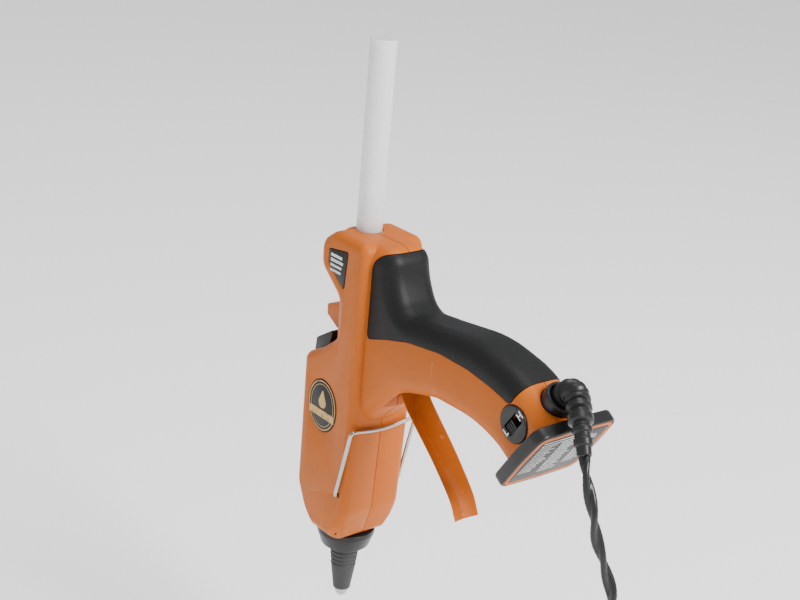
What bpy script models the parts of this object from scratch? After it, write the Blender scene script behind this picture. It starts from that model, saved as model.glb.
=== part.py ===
"""Hot glue gun, hanging nose down: barrel along Z (rear end up), handle towards +X.

The origin is on the barrel axis at the shoulder behind the nose, where a holder carries the gun.
"""
import bpy
import bmesh
import math
from mathutils import Matrix, Vector

MM = 0.001
GAP = 0.3 * MM                    # air left between pieces that touch
SLIDE = 0.35 * MM                 # running clearance round a pin or in a guide

# overall sizes
BARREL_LENGTH = 141 * MM          # shoulder to rear face
BARREL_HALF = 16 * MM             # half the width of the barrel
HANDLE_HALF = 12.3 * MM           # half the width of the handle
WALL = 2.2 * MM                   # shell wall
REAR_WALL = 3 * MM
BARREL_EDGE = 4 * MM              # rounding along the barrel's sides
HANDLE_EDGE = 8 * MM              # rounding along the handle's sides
CORE_RADIUS = 10.2 * MM           # tube round the stick at the waist

# glue stick and feed
STICK_RADIUS = 5.6 * MM
STICK_FRONT = 58 * MM
STICK_OUT = 81 * MM               # how far the stick stands out of the rear
STICK_FREE = 0.3 * MM             # gap round the stick in its guides
STICK_HOLE = 6.1 * MM
CORE_WALL = 2 * MM
ROOT_HALF = 10.3 * MM             # half the width inside the handle's root
FIN_HALF = 3.2 * MM
GRIP_THICK = 2 * MM
INSERT_HALF = 8.2 * MM
BADGE_THICK = 0.8 * MM
BADGE_PROUD = 0.15 * MM
CARRIAGE_RADIUS = 7.5 * MM
CHEEK_OUTER = 7.6 * MM
JAW_HALF = 2.8 * MM
JAW_X = 10.6 * MM
JAW_Z = 101.4 * MM
JAW_PIN_RADIUS = 1 * MM
JAW_CLEAR = 0.6 * MM              # between the open jaw's toe and the stick
SPRING_RADIUS = 7 * MM
SPRING_WIRE = 0.45 * MM
HEATER_THICK = 2.5 * MM
BARREL_SIDE_END = 19 * MM         # where the barrel's wide side stops, towards the handle
NOSE_HOLE = 9.6 * MM

# trigger
PIVOT_X = 34 * MM
PIVOT_Z = 92 * MM
PIVOT_RADIUS = 2 * MM
HUB_RADIUS = 4.5 * MM
ARM_INNER = 7.9 * MM
ARM_OUTER = 9.4 * MM
TRIGGER_HALF = 6.6 * MM           # half the width of the blade
TRIGGER_DEPTH = 5.2 * MM
TRIGGER_WALL = 2 * MM
RIM_LIP = 0.6 * MM
SLOT_ROOM = 1.1 * MM              # on each side of the blade
PIVOT_HALF = 11 * MM
ARM_PIN_X = 9 * MM
ARM_PIN_Z = 97.8 * MM
ARM_PIN_RADIUS = 1.5 * MM
ARM_END_RADIUS = 3.4 * MM

# butt of the handle: the foot plate leans, so its pieces live on their own axes
BUTT_ANGLE = math.radians(55.8)
FOOT_X = 125 * MM
FOOT_Z = 90.4 * MM                # middle of the foot's outer face
FOOT_WIDTH = 42 * MM
FOOT_LENGTH = 36.6 * MM
FOOT_THICK = 5.3 * MM
FOOT_CORNER = 5 * MM
RIM_WIDTH = 1.1 * MM
BORDER_WIDTH = 1.7 * MM
LABEL_THICK = 0.8 * MM
POCKET_DEPTH = 3 * MM

# switch
SWITCH_X = 112 * MM
SWITCH_Z = 100 * MM
SWITCH_RADIUS = 7.4 * MM
SWITCH_THICK = 1.6 * MM
SWITCH_PROUD = 0.5 * MM
STEM_LENGTH = 4.6 * MM
STEM_WIDTH = 4.2 * MM
SWITCH_TRAVEL = 4 * MM
SWITCH_BODY_HALF = 5.8 * MM

# swivel and cord
SWIVEL_X = 121.5 * MM
SWIVEL_Z = 110.2 * MM
CUP_RADIUS = 7 * MM
CUP_HEIGHT = 4.2 * MM
CUP_SEAT = 2.6 * MM               # how deep the cup sits in the handle
STEM_RADIUS = 3.6 * MM
ELBOW_TURN = math.radians(-26)    # outlet turned towards the left side at rest
ELBOW_BEND = 7 * MM
CORD_DIAMETER = 4.8 * MM
COIL_MEAN_RADIUS = 26 * MM
COIL_SECTION = 7.9 * MM           # radius of the bundle of turns
COIL_CENTRE = Vector((168, -12, 0)) * MM
TIE_ANGLE = 40                    # degrees round the coil
TIE_ROOM = 0.55 * MM
BLADE_SPACING = 12.7 * MM
BLADE_WIDTH = 6.3 * MM
BLADE_THICK = 1.5 * MM

# nose
NOZZLE_TIP_Z = -37.4 * MM
SLEEVE_END_Z = -33 * MM
CHAMBER_RADIUS = 8 * MM
CHAMBER_REAR = 60 * MM
NOZZLE_TIP_RADIUS = 3.1 * MM

# wire stand
STAND_WIRE = 0.85 * MM            # radius of the wire
STAND_X = 12.5 * MM
STAND_Z = 24 * MM
STAND_REACH = 35 * MM
STAND_LEAN = math.radians(13.5)   # folded against the barrel's underside

# fasteners: each is driven from the right side into a boss of the left shell
SCREW_SHAFT = 1.3 * MM
SCREW_HEAD = 2.7 * MM
SCREW_END = 4 * MM                # left in front of the screw's tip
HEAD_THICK = 1.8 * MM
HEAD_SUNK = 1 * MM
BOSS_RADIUS = 3 * MM
HEAD_BOSS_RADIUS = 4 * MM
ROOT_SCREW = 5
SCREW_PLACES = (
    (-12.6, 70.0), (-12.6, 26.0), (12.8, 131.0), (72.0, 101.0), (97.0, 99.5), (22.8, 74.0),
)

Y_AXIS = Vector((0, 1, 0))
BUTT_ALONG = Vector((math.cos(BUTT_ANGLE), 0, math.sin(BUTT_ANGLE)))
BUTT_OUT = Vector((math.sin(BUTT_ANGLE), 0, -math.cos(BUTT_ANGLE)))


def clear_scene():
    for obj in list(bpy.data.objects):
        bpy.data.objects.remove(obj, do_unlink=True)


def new_collection(name):
    collection = bpy.data.collections.new(name)
    bpy.context.scene.collection.children.link(collection)
    return collection


def material(name, colour, roughness, metallic=0.0):
    mat = bpy.data.materials.new(name)
    mat.use_nodes = True
    shader = mat.node_tree.nodes["Principled BSDF"]
    shader.inputs["Base Color"].default_value = (*colour, 1.0)
    shader.inputs["Roughness"].default_value = roughness
    shader.inputs["Metallic"].default_value = metallic
    return mat


clear_scene()
parts = new_collection("hot_glue_gun")
tools = new_collection("cutters")

ORANGE = material("orange_abs", (0.62, 0.22, 0.05), 0.45)
RUBBER = material("black_rubber", (0.025, 0.026, 0.025), 0.6)
BLACK = material("black_nylon", (0.02, 0.02, 0.02), 0.4)
CHROME = material("bright_wire", (0.7, 0.7, 0.7), 0.2, 1.0)
STEEL = material("zinc_steel", (0.55, 0.56, 0.58), 0.35, 1.0)
ALUMINIUM = material("cast_aluminium", (0.6, 0.6, 0.6), 0.45, 1.0)
SILICONE = material("silicone", (0.05, 0.05, 0.05), 0.7)
CLEAR_SILICONE = material("clear_silicone", (0.7, 0.72, 0.7), 0.5)
GLUE = material("hot_melt", (0.86, 0.88, 0.88), 0.35)
BOARD = material("board_green", (0.03, 0.18, 0.08), 0.5)
BADGE = material("printed_badge", (0.03, 0.03, 0.03), 0.35)


# --- outlines -----------------------------------------------------------------------------

def fillet(corners):
    """Turn corners (a, b, radius), in millimetres, into a closed outline in metres."""
    outline = []
    count = len(corners)
    for index, (a, b, radius) in enumerate(corners):
        here = Vector((a, b))
        back = Vector(corners[index - 1][:2]) - here
        ahead = Vector(corners[(index + 1) % count][:2]) - here
        turn = back.angle(ahead)
        if radius <= 0 or turn > math.radians(179):
            outline.append(here * MM)
            continue
        reach = min(radius / math.tan(turn / 2), 0.49 * back.length, 0.49 * ahead.length)
        start = here + back.normalized() * reach
        end = here + ahead.normalized() * reach
        steps = max(2, math.ceil((math.pi - turn) / math.radians(26)))
        for step in range(steps + 1):
            share = step / steps
            low = start.lerp(here, share)
            high = here.lerp(end, share)
            outline.append(low.lerp(high, share) * MM)
    return outline


def grown(outline, distance):
    """Move each side of a closed outline outwards (or inwards) by a distance."""
    count = len(outline)
    area = sum(outline[i - 1].x * outline[i].y - outline[i].x * outline[i - 1].y
               for i in range(count))
    side = 1 if area > 0 else -1
    moved = []
    for index, here in enumerate(outline):
        before = (here - outline[index - 1]).normalized()
        after = (outline[(index + 1) % count] - here).normalized()
        normal_a = Vector((before.y, -before.x)) * side
        normal_b = Vector((after.y, -after.x)) * side
        middle = (normal_a + normal_b).normalized()
        scale = distance / max(0.5, middle.dot(normal_a))
        moved.append(here + middle * scale)
    return moved


def rounded_box_outline(width, length, corner):
    w, l, r = width / 2 / MM, length / 2 / MM, corner / MM
    return fillet(((-w, -l, r), (w, -l, r), (w, l, r), (-w, l, r)))


# --- solids -------------------------------------------------------------------------------

def add_object(name, mesh, collection, mat=None):
    obj = bpy.data.objects.new(name, mesh)
    collection.objects.link(obj)
    if mat:
        mesh.materials.append(mat)
    return obj


def mesh_from_curve(name, curve, frame):
    """Evaluate a curve, close its caps and put it in place."""
    helper = bpy.data.objects.new(name + "_curve", curve)
    bpy.context.scene.collection.objects.link(helper)
    helper.matrix_world = frame
    bpy.context.view_layer.update()
    graph = bpy.context.evaluated_depsgraph_get()
    mesh = bpy.data.meshes.new_from_object(helper.evaluated_get(graph))
    mesh.transform(frame)
    bm = bmesh.new()
    bm.from_mesh(mesh)
    bmesh.ops.remove_doubles(bm, verts=bm.verts, dist=0.00001)
    bmesh.ops.recalc_face_normals(bm, faces=bm.faces)
    bm.to_mesh(mesh)
    bm.free()
    bpy.data.objects.remove(helper, do_unlink=True)
    return mesh


def flat_mesh(name, outline, half, edge, frame):
    """A plate of the outline, 2 * half thick, with its rims rounded by edge."""
    curve = bpy.data.curves.new(name, "CURVE")
    curve.dimensions = "2D"
    curve.fill_mode = "BOTH"
    curve.extrude = half - edge
    curve.bevel_depth = edge
    curve.bevel_resolution = 1 if edge > MM else 0
    curve.offset = -edge
    spline = curve.splines.new("POLY")
    spline.points.add(len(outline) - 1)
    for point, place in zip(spline.points, outline):
        point.co = (place.x, place.y, 0, 1)
    spline.use_cyclic_u = True
    mesh = mesh_from_curve(name, curve, frame)
    bpy.data.curves.remove(curve)
    return mesh


def side_frame(y=0.0):
    """Outlines drawn in X and Z, thickness along Y."""
    rows = Matrix(((1, 0, 0), (0, 0, -1), (0, 1, 0)))
    return Matrix.Translation((0, y, 0)) @ rows.to_4x4()


def butt_frame(depth=0.0):
    """Outlines drawn across and along the foot plate, depth measured inwards from its face."""
    rows = Matrix((Y_AXIS, BUTT_ALONG, BUTT_OUT)).transposed()
    centre = Vector((FOOT_X, 0, FOOT_Z)) - BUTT_OUT * depth
    return Matrix.Translation(centre) @ rows.to_4x4()


def axis_frame(origin, direction):
    """Local Z runs along the direction."""
    turn = Vector((0, 0, 1)).rotation_difference(Vector(direction))
    return Matrix.Translation(origin) @ turn.to_matrix().to_4x4()


def rod_mesh(name, radius, start, end, sides=24):
    """A cylinder between two points."""
    start, end = Vector(start), Vector(end)
    bm = bmesh.new()
    bmesh.ops.create_cone(bm, cap_ends=True, segments=sides, radius1=radius, radius2=radius,
                          depth=(end - start).length)
    mesh = bpy.data.meshes.new(name)
    bm.to_mesh(mesh)
    bm.free()
    mesh.transform(axis_frame((start + end) / 2, (end - start).normalized()))
    return mesh


def block_mesh(name, low, high):
    low, high = Vector(low), Vector(high)
    bm = bmesh.new()
    bmesh.ops.create_cube(bm, size=1)
    mesh = bpy.data.meshes.new(name)
    size = high - low
    bm.to_mesh(mesh)
    bm.free()
    mesh.transform(Matrix.Translation((low + high) / 2) @ Matrix.Diagonal((*size, 1)))
    return mesh


def turned(name, profile, collection, mat=None, frame=None, sides=32):
    """Turn a closed profile of (radius, height) round Z; it runs down its outer side."""
    mesh = bpy.data.meshes.new(name)
    count = len(profile)
    bm = bmesh.new()
    points = [bm.verts.new((radius, 0, height)) for radius, height in profile]
    for index in range(count):
        if profile[index][0] < 1e-9 and profile[(index + 1) % count][0] < 1e-9:
            continue
        bm.edges.new((points[index], points[(index + 1) % count]))
    bm.to_mesh(mesh)
    bm.free()
    obj = add_object(name, mesh, collection, mat)
    screw = obj.modifiers.new("turn", "SCREW")
    screw.axis = "Z"
    screw.steps = sides
    screw.render_steps = sides
    screw.use_merge_vertices = True
    screw.merge_threshold = 0.00001
    if frame is not None:
        obj.matrix_world = frame
    return obj


def tube_mesh(name, points, radius, resolution=2, radii=None):
    """A round wire through the points, with filled ends; radii may swell or thin it."""
    curve = bpy.data.curves.new(name, "CURVE")
    curve.dimensions = "3D"
    curve.bevel_depth = radius
    curve.bevel_resolution = resolution
    curve.use_fill_caps = True
    spline = curve.splines.new("POLY")
    spline.points.add(len(points) - 1)
    for index, (point, place) in enumerate(zip(spline.points, points)):
        point.co = (*place, 1)
        if radii:
            point.radius = radii[index] / radius
    mesh = mesh_from_curve(name, curve, Matrix.Identity(4))
    bpy.data.curves.remove(curve)
    return mesh


def smooth_path(route, spacing):
    """Points about a spacing apart on a smooth curve through the route's points."""
    places = [Vector(p) for p in route]
    ends = [2 * places[0] - places[1]] + places + [2 * places[-1] - places[-2]]
    path = [places[0]]
    for index in range(1, len(ends) - 2):
        before, start, end, after = ends[index - 1:index + 3]
        steps = max(1, round((end - start).length / spacing))
        for step in range(1, steps + 1):
            t = step / steps
            pull = (end - before) * 0.5
            push = (after - start) * 0.5
            h = (2 * t ** 3 - 3 * t ** 2 + 1, t ** 3 - 2 * t ** 2 + t,
                 -2 * t ** 3 + 3 * t ** 2, t ** 3 - t ** 2)
            path.append(start * h[0] + pull * h[1] + end * h[2] + push * h[3])
    return path


def as_tool(mesh, name):
    obj = add_object(name, mesh, tools)
    obj.hide_render = True
    obj.display_type = "WIRE"
    return obj


def combine(obj, tool, operation):
    boolean = obj.modifiers.new(operation.lower(), "BOOLEAN")
    boolean.operation = operation
    boolean.solver = "EXACT"
    boolean.object = tool
    tool.hide_render = True
    tool.display_type = "WIRE"
    return boolean


def close_seams(obj):
    """Merge the slivers that a long chain of cuts leaves behind."""
    weld = obj.modifiers.new("close_seams", "WELD")
    weld.merge_threshold = 0.02 * MM


def part(name, mesh, mat, origin=None):
    """A sub-part; a moving one gets its origin on its joint's axis."""
    obj = add_object(name, mesh, parts, mat)
    if origin is not None:
        mesh.transform(Matrix.Translation(-Vector(origin)))
        obj.location = origin
    return obj


# --- outlines of the housing --------------------------------------------------------------

LENGTH = BARREL_LENGTH / MM
BUTT_REACH = 12                   # how far the raw handle runs past the foot before it is cut

# side view of the wide barrel: top edge with its waist, rear, underside
barrel_outline = fillet((
    (-13, 0, 4.5), (-19.6, 16, 14), (-19.6, 80, 4.5), (-8, 86.5, 9), (2.6, 95, 8), (2.6, 112, 9),
    (-12.5, 123.5, 9), (-12.5, LENGTH - 6, 7), (-4, LENGTH, 9), (19, LENGTH, 5), (19, 58, 20),
    (17, 16, 14), (12, 0, 4.5),
))
# side view of the handle with its web behind and its root in front
handle_outline = fillet((
    (-4, LENGTH, 0), (29.5, LENGTH, 9.5), (32.5, 128, 30), (39, 117, 16), (56, 118.8, 40),
    (84, 122.5, 60), (108, 118, 40), (131, 104.5, 0),
    (131 + BUTT_REACH, 96, 0), (112 + BUTT_REACH, 68, 0),
    (113, 77.5, 30), (102, 85, 40), (86, 89.2, 60), (62, 88.8, 30), (40, 82.5, 24), (24, 66, 18),
    (16, 57, 0), (-4, 57, 0),
))
# the soft grip covers the back of the handle down to this line
grip_outline = fillet((
    (19.8, LENGTH - 1.8, 9), (19.8, 100.4, 1.5), (32, 104.6, 20), (46, 108.6, 30),
    (66, 111.4, 30), (84, 111.2, 30), (98, 109.2, 10), (108.6, 106.6, 2.5), (113.5, 117, 6),
    (122, 134, 0), (44, 134, 4), (44, LENGTH - 1.8, 0),
))

fin_outline = fillet(((-6, 105.5, 0), (-21.6, 100.2, 1.2), (-21.4, 95.4, 1.2), (-6, 87.5, 0)))
insert_outline = fillet((
    (-9.2, 93, 1), (-21.2, 85.2, 2), (-22, 78.5, 1.2), (-17.2, 76.6, 1), (-11.5, 83.5, 2),
))

# how wide the nose is at each height: (radius, height)
NOSE_PROFILE = ((15.5, 0), (19.5, 8), (25, 24))

label_outline = fillet(((-5.4, 132.9, 0.8), (7.6, 134.9, 0.8), (6.2, 117.9, 0.8),
                        (-5.6, 126.5, 0.8)))
root_outline = fillet((
    (4, 112, 0), (4, 68, 0), (24.5, 71.5, 8), (40, 86, 12), (60, 91.6, 10), (68, 95, 0),
    (62, 105, 0), (44, 105, 10), (30, 103.5, 10), (26, 112, 0),
))
slot_outline = fillet(((28.5, 88, 0), (28.5, 62, 0), (57, 74, 0), (57, 91, 2)))
emblem_outline = [
    Vector((-3 + 10.2 * math.cos(a), 61 + 12 * math.sin(a))) * MM
    for a in (math.tau * k / 32 for k in range(32))
]


# --- places that lean with the butt ---------------------------------------------------------

def butt_block(depth):
    """All space beyond a plane at this depth inside the foot's face."""
    mesh = block_mesh("butt", (-0.05, -0.05, 0), (0.05, 0.05, 0.06))
    mesh.transform(butt_frame(depth))
    return mesh


def swivel_place(height):
    """A point on the swivel's axis, height above the back of the handle."""
    return Vector((SWIVEL_X, 0, SWIVEL_Z)) + BUTT_ALONG * height


def switch_block(length, width, inner, outer):
    """A block on the switch's place; its length runs along the butt, inner and outer are |Y|."""
    mesh = block_mesh("switch", (-length / 2, -width / 2, -outer), (length / 2, width / 2, -inner))
    rows = Matrix((BUTT_ALONG, BUTT_OUT, Y_AXIS)).transposed()
    mesh.transform(Matrix.Translation((SWITCH_X, 0, SWITCH_Z)) @ rows.to_4x4())
    return mesh


def side_plate(name, outline, inner, outer):
    """A plate on the left side of the barrel, between two distances from the middle plane."""
    return flat_mesh(name, outline, (outer - inner) / 2, 0, side_frame(-(inner + outer) / 2))


def side_recess(name, outline):
    room = grown(outline, GAP)
    return as_tool(side_plate(name, room, BARREL_HALF - BADGE_THICK - GAP, BARREL_HALF + 2 * MM),
                   name)


# --- shells and grip ------------------------------------------------------------------------

def plate_tool(name, outline, half, edge=0.0):
    return as_tool(flat_mesh(name, outline, half, edge, side_frame()), name)


def rod_tool(name, radius, start, end, sides=32):
    return as_tool(rod_mesh(name, radius, start, end, sides), name)


def nose_taper():
    """The ring of space round the tapering nose."""
    inner = [(radius * MM, height * MM) for radius, height in NOSE_PROFILE]
    far = 60 * MM
    profile = [(far, inner[-1][1]), (far, -2 * MM), (inner[0][0], -2 * MM)] + inner
    return turned("nose_taper", profile, tools, sides=48)


core_form = rod_tool("core_form", CORE_RADIUS, (0, 0, 60 * MM),
                     (0, 0, BARREL_LENGTH - 2 * MM), 40)
handle_form = plate_tool("handle_form", handle_outline, HANDLE_HALF, HANDLE_EDGE)
fin_form = plate_tool("fin_form", fin_outline, FIN_HALF, 0.4 * MM)
nose_form = nose_taper()
barrel_cavity = plate_tool("barrel_cavity", grown(barrel_outline, -WALL), BARREL_HALF - WALL)
core_cavity = rod_tool("core_cavity", CORE_RADIUS - CORE_WALL, (0, 0, 30 * MM),
                       (0, 0, BARREL_LENGTH - REAR_WALL))
handle_cavity = plate_tool("handle_cavity", grown(handle_outline, -GRIP_THICK - WALL),
                           HANDLE_HALF - GRIP_THICK - WALL, HANDLE_EDGE - GRIP_THICK - WALL)
root_cavity = plate_tool("root_cavity", root_outline, ROOT_HALF, HANDLE_EDGE - WALL)
trigger_slot = plate_tool("trigger_slot", slot_outline, TRIGGER_HALF + SLOT_ROOM)
stick_hole = rod_tool("stick_hole", STICK_HOLE, (0, 0, 130 * MM),
                      (0, 0, BARREL_LENGTH + 5 * MM), 40)
nose_hole = rod_tool("nose_hole", NOSE_HOLE, (0, 0, -5 * MM), (0, 0, 12 * MM), 40)
butt_cut = as_tool(butt_block(FOOT_THICK + GAP), "butt_cut")
pivot_socket = rod_tool("pivot_socket", PIVOT_RADIUS + SLIDE,
                        (PIVOT_X, -PIVOT_HALF - GAP, PIVOT_Z), (PIVOT_X, PIVOT_HALF + GAP, PIVOT_Z))
stand_hole = rod_tool("stand_hole", STAND_WIRE + SLIDE, (STAND_X, -0.02, STAND_Z),
                      (STAND_X, 0.02, STAND_Z), 20)
insert_recess = plate_tool("insert_recess", grown(insert_outline, GAP), INSERT_HALF + GAP)
label_recess = side_recess("label_recess", label_outline)
emblem_recess = side_recess("emblem_recess", emblem_outline)
switch_recess = rod_tool("switch_recess", SWITCH_RADIUS + GAP,
                         (SWITCH_X, -HANDLE_HALF + SWITCH_THICK - SWITCH_PROUD + GAP, SWITCH_Z),
                         (SWITCH_X, -HANDLE_HALF - 5 * MM, SWITCH_Z), 40)
switch_hole = as_tool(switch_block(STEM_LENGTH + SWITCH_TRAVEL + 2 * SLIDE, STEM_WIDTH + 2 * SLIDE,
                                   4 * MM, HANDLE_HALF + 5 * MM), "switch_hole")
swivel_recess = rod_tool("swivel_recess", CUP_RADIUS + GAP, swivel_place(-CUP_SEAT - GAP),
                         swivel_place(12 * MM), 40)
swivel_bore = rod_tool("swivel_bore", STEM_RADIUS + GAP + SLIDE, swivel_place(-9 * MM),
                       swivel_place(0))
grip_core = plate_tool("grip_core", grown(handle_outline, -GRIP_THICK - GAP),
                       HANDLE_HALF - GRIP_THICK - GAP, HANDLE_EDGE - GRIP_THICK)
grip_room = plate_tool("grip_room", grown(grip_outline, GAP), 20 * MM)
combine(grip_room, grip_core, "DIFFERENCE")


def boss_tool(name, place, side, radius, depth_from, depth_to, sides=16):
    x, z = place[0] * MM, place[1] * MM
    return rod_tool(name, radius, (x, side * depth_from, z), (x, side * depth_to, z), sides)


def half_width(place):
    """Half the width of the shell where a screw sits."""
    return BARREL_HALF if place[0] * MM < BARREL_SIDE_END else HANDLE_HALF


def inner_half(place):
    """|Y| of the shell's inner face where a screw sits."""
    if place[0] * MM < BARREL_SIDE_END:
        return BARREL_HALF - WALL
    return ROOT_HALF if place == SCREW_PLACES[ROOT_SCREW] else HANDLE_HALF - GRIP_THICK - WALL


def shell(name, side):
    """One half of the housing; side is -1 on the left and 1 on the right."""
    mesh = flat_mesh(name, barrel_outline, BARREL_HALF, BARREL_EDGE, side_frame())
    obj = part(name, mesh, ORANGE)
    combine(obj, nose_form, "DIFFERENCE")
    for form in (core_form, handle_form, fin_form):
        combine(obj, form, "UNION")
    for cavity in (barrel_cavity, core_cavity, handle_cavity, root_cavity):
        combine(obj, cavity, "DIFFERENCE")
    for index, place in enumerate(SCREW_PLACES):
        radius = BOSS_RADIUS if side < 0 else HEAD_BOSS_RADIUS
        boss = boss_tool(f"boss_{name}_{index}", place, side, radius, 0,
                         inner_half(place) + 0.6 * MM)
        combine(obj, boss, "UNION")
        shaft = boss_tool(f"bore_{name}_{index}", place, side, SCREW_SHAFT + GAP, -MM,
                          half_width(place) - (SCREW_END if side < 0 else 0) + GAP, 14)
        combine(obj, shaft, "DIFFERENCE")
        if side > 0:
            seat = boss_tool(f"seat_{index}", place, side, SCREW_HEAD + GAP,
                             half_width(place) - HEAD_SUNK - HEAD_THICK - GAP,
                             half_width(place) + 5 * MM, 22)
            combine(obj, seat, "DIFFERENCE")
    openings = [trigger_slot, stick_hole, nose_hole, butt_cut, pivot_socket, stand_hole,
                insert_recess, swivel_recess, swivel_bore, grip_room]
    if side < 0:
        openings += [label_recess, emblem_recess, switch_recess, switch_hole]
    for opening in openings:
        combine(obj, opening, "DIFFERENCE")
    low, high = (-60 * MM, -GAP / 2) if side < 0 else (GAP / 2, 60 * MM)
    half = as_tool(block_mesh("half", (-0.06, low, -0.06), (0.2, high, 0.2)), f"half_{name}")
    combine(obj, half, "INTERSECT")
    close_seams(obj)
    return obj


def rubber_grip():
    mesh = flat_mesh("rubber_grip", handle_outline, HANDLE_HALF, HANDLE_EDGE, side_frame())
    obj = part("rubber_grip", mesh, RUBBER)
    zone = plate_tool("grip_zone", grip_outline, 20 * MM)
    combine(obj, zone, "INTERSECT")
    under = plate_tool("grip_under", grown(handle_outline, -GRIP_THICK),
                       HANDLE_HALF - GRIP_THICK, HANDLE_EDGE - GRIP_THICK)
    combine(obj, under, "DIFFERENCE")
    return obj


shell("left_shell", -1)
shell("right_shell", 1)
rubber_grip()
part("top_insert", flat_mesh("top_insert", insert_outline, INSERT_HALF, 0, side_frame()),
     BLACK)
for badge_name, badge_outline in (("side_label", label_outline), ("oval_badge", emblem_outline)):
    part(badge_name, side_plate(badge_name, badge_outline, BARREL_HALF - BADGE_THICK,
                                BARREL_HALF + BADGE_PROUD), BADGE)


# --- screws ---------------------------------------------------------------------------------

def shell_screw(index, place):
    """Driven from the right; its origin is at the outside of the head."""
    outer = half_width(place) - HEAD_SUNK
    length = outer + half_width(place) - SCREW_END
    profile = [(0, 0), (SCREW_HEAD, 0), (SCREW_HEAD, -HEAD_THICK), (SCREW_SHAFT, -HEAD_THICK),
               (SCREW_SHAFT, -length + SCREW_SHAFT), (0, -length)]
    frame = axis_frame((place[0] * MM, outer, place[1] * MM), Y_AXIS)
    return turned(f"shell_screw_{index + 1}", profile, parts, STEEL, frame, 14)


for screw_index, screw_place in enumerate(SCREW_PLACES):
    shell_screw(screw_index, screw_place)


# --- nose, melt chamber and heater ----------------------------------------------------------

def turned_mm(name, profile, mat, sides=32, frame=None):
    return turned(name, [(r * MM, z * MM) for r, z in profile], parts, mat, frame, sides)


def melt_chamber():
    outer, rear, bore = CHAMBER_RADIUS / MM, CHAMBER_REAR / MM, (STICK_RADIUS + STICK_FREE) / MM
    return turned_mm("melt_chamber", [
        (outer, rear), (outer, 12), (6.8, 12), (6.8, 2), (4.8, 2), (4.8, 9.5), (1.6, 9.5),
        (1.6, 14), (bore, 26), (bore, rear)], ALUMINIUM)


def nozzle():
    tip, radius = NOZZLE_TIP_Z / MM, NOZZLE_TIP_RADIUS / MM
    end = SLEEVE_END_Z / MM
    return turned_mm("nozzle", [
        (4.5, 9), (4.5, 1.6), (6.4, 1.6), (6.4, -3), (5, -4.5), (radius, end), (radius, tip + 3),
        (radius - 0.6, tip + 1.3), (radius - 1.8, tip), (0.8, tip), (0.8, end), (1.4, -28),
        (1.4, 9)], ALUMINIUM, 24)


def nozzle_sleeve():
    end, radius = SLEEVE_END_Z / MM, NOZZLE_TIP_RADIUS / MM
    gap = GAP / MM
    return turned_mm("nozzle_sleeve", [
        (7.3, -5), (7.3, -9), (5.9, -20), (radius + 1.1, end + 2), (radius + 0.9, end),
        (radius + gap, end), (5 + gap, -5)], SILICONE, 24)


def nose_collar():
    inner = NOSE_HOLE / MM - GAP / MM
    return turned_mm("nose_collar", [
        (inner, 4), (inner, -0.3), (13.2, -0.3), (13.2, -2.6), (11, -9), (8.6, -9), (8.2, -8),
        (8.2, 4)], BLACK)


melt_chamber()
nozzle()
nozzle_sleeve()
nose_collar()
turned_mm("inlet_seal", [(7.9, 75.5), (7.9, CHAMBER_REAR / MM + 0.3),
                         ((STICK_RADIUS + STICK_FREE) / MM, CHAMBER_REAR / MM + 0.3),
                         ((STICK_RADIUS + STICK_FREE) / MM, 75.5)], CLEAR_SILICONE, 24)
turned_mm("stick_guide", [(7.9, 137.4), (7.9, 127), ((STICK_RADIUS + STICK_FREE) / MM, 127),
                          ((STICK_RADIUS + STICK_FREE) / MM, 137.4)], BLACK, 24)
heater_face = CHAMBER_RADIUS + GAP
part("heater_plate", block_mesh("heater_plate", (heater_face, -6 * MM, 22 * MM),
                                (heater_face + HEATER_THICK, 6 * MM, 56 * MM)), STEEL)


def heater_clip():
    """A sprung strap round the chamber and the heater, open on the far side."""
    reach = (heater_face + HEATER_THICK + 0.5 * MM) / MM
    side = CHAMBER_RADIUS / MM + 0.4
    wall = 0.8
    outline = fillet((
        (-4, -side - wall, 0), (reach + wall, -side - wall, 2), (reach + wall, side + wall, 2),
        (-4, side + wall, 0), (-4, side, 0), (reach, side, 1.2), (reach, -side, 1.2),
        (-4, -side, 0)))
    mesh = flat_mesh("heater_clip", outline, 9 * MM, 0, Matrix.Translation((0, 0, 39 * MM)))
    return part("heater_clip", mesh, STEEL)


heater_clip()
fuse_x = -CHAMBER_RADIUS - GAP - 1.9 * MM
part("thermal_fuse", rod_mesh("thermal_fuse", 1.9 * MM, (fuse_x, 0, 35 * MM),
                              (fuse_x, 0, 46 * MM), 16), BLACK)
part("circuit_board", block_mesh("circuit_board", (77.6 * MM, -0.8 * MM, 97 * MM),
                                 (91.4 * MM, 0.8 * MM, 109 * MM)), BOARD)


# --- glue stick, carriage and jaw -----------------------------------------------------------

def glue_stick():
    mesh = rod_mesh("glue_stick", STICK_RADIUS, (0, 0, STICK_FRONT),
                    (0, 0, BARREL_LENGTH + STICK_OUT), 32)
    return part("glue_stick", mesh, GLUE)


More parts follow.
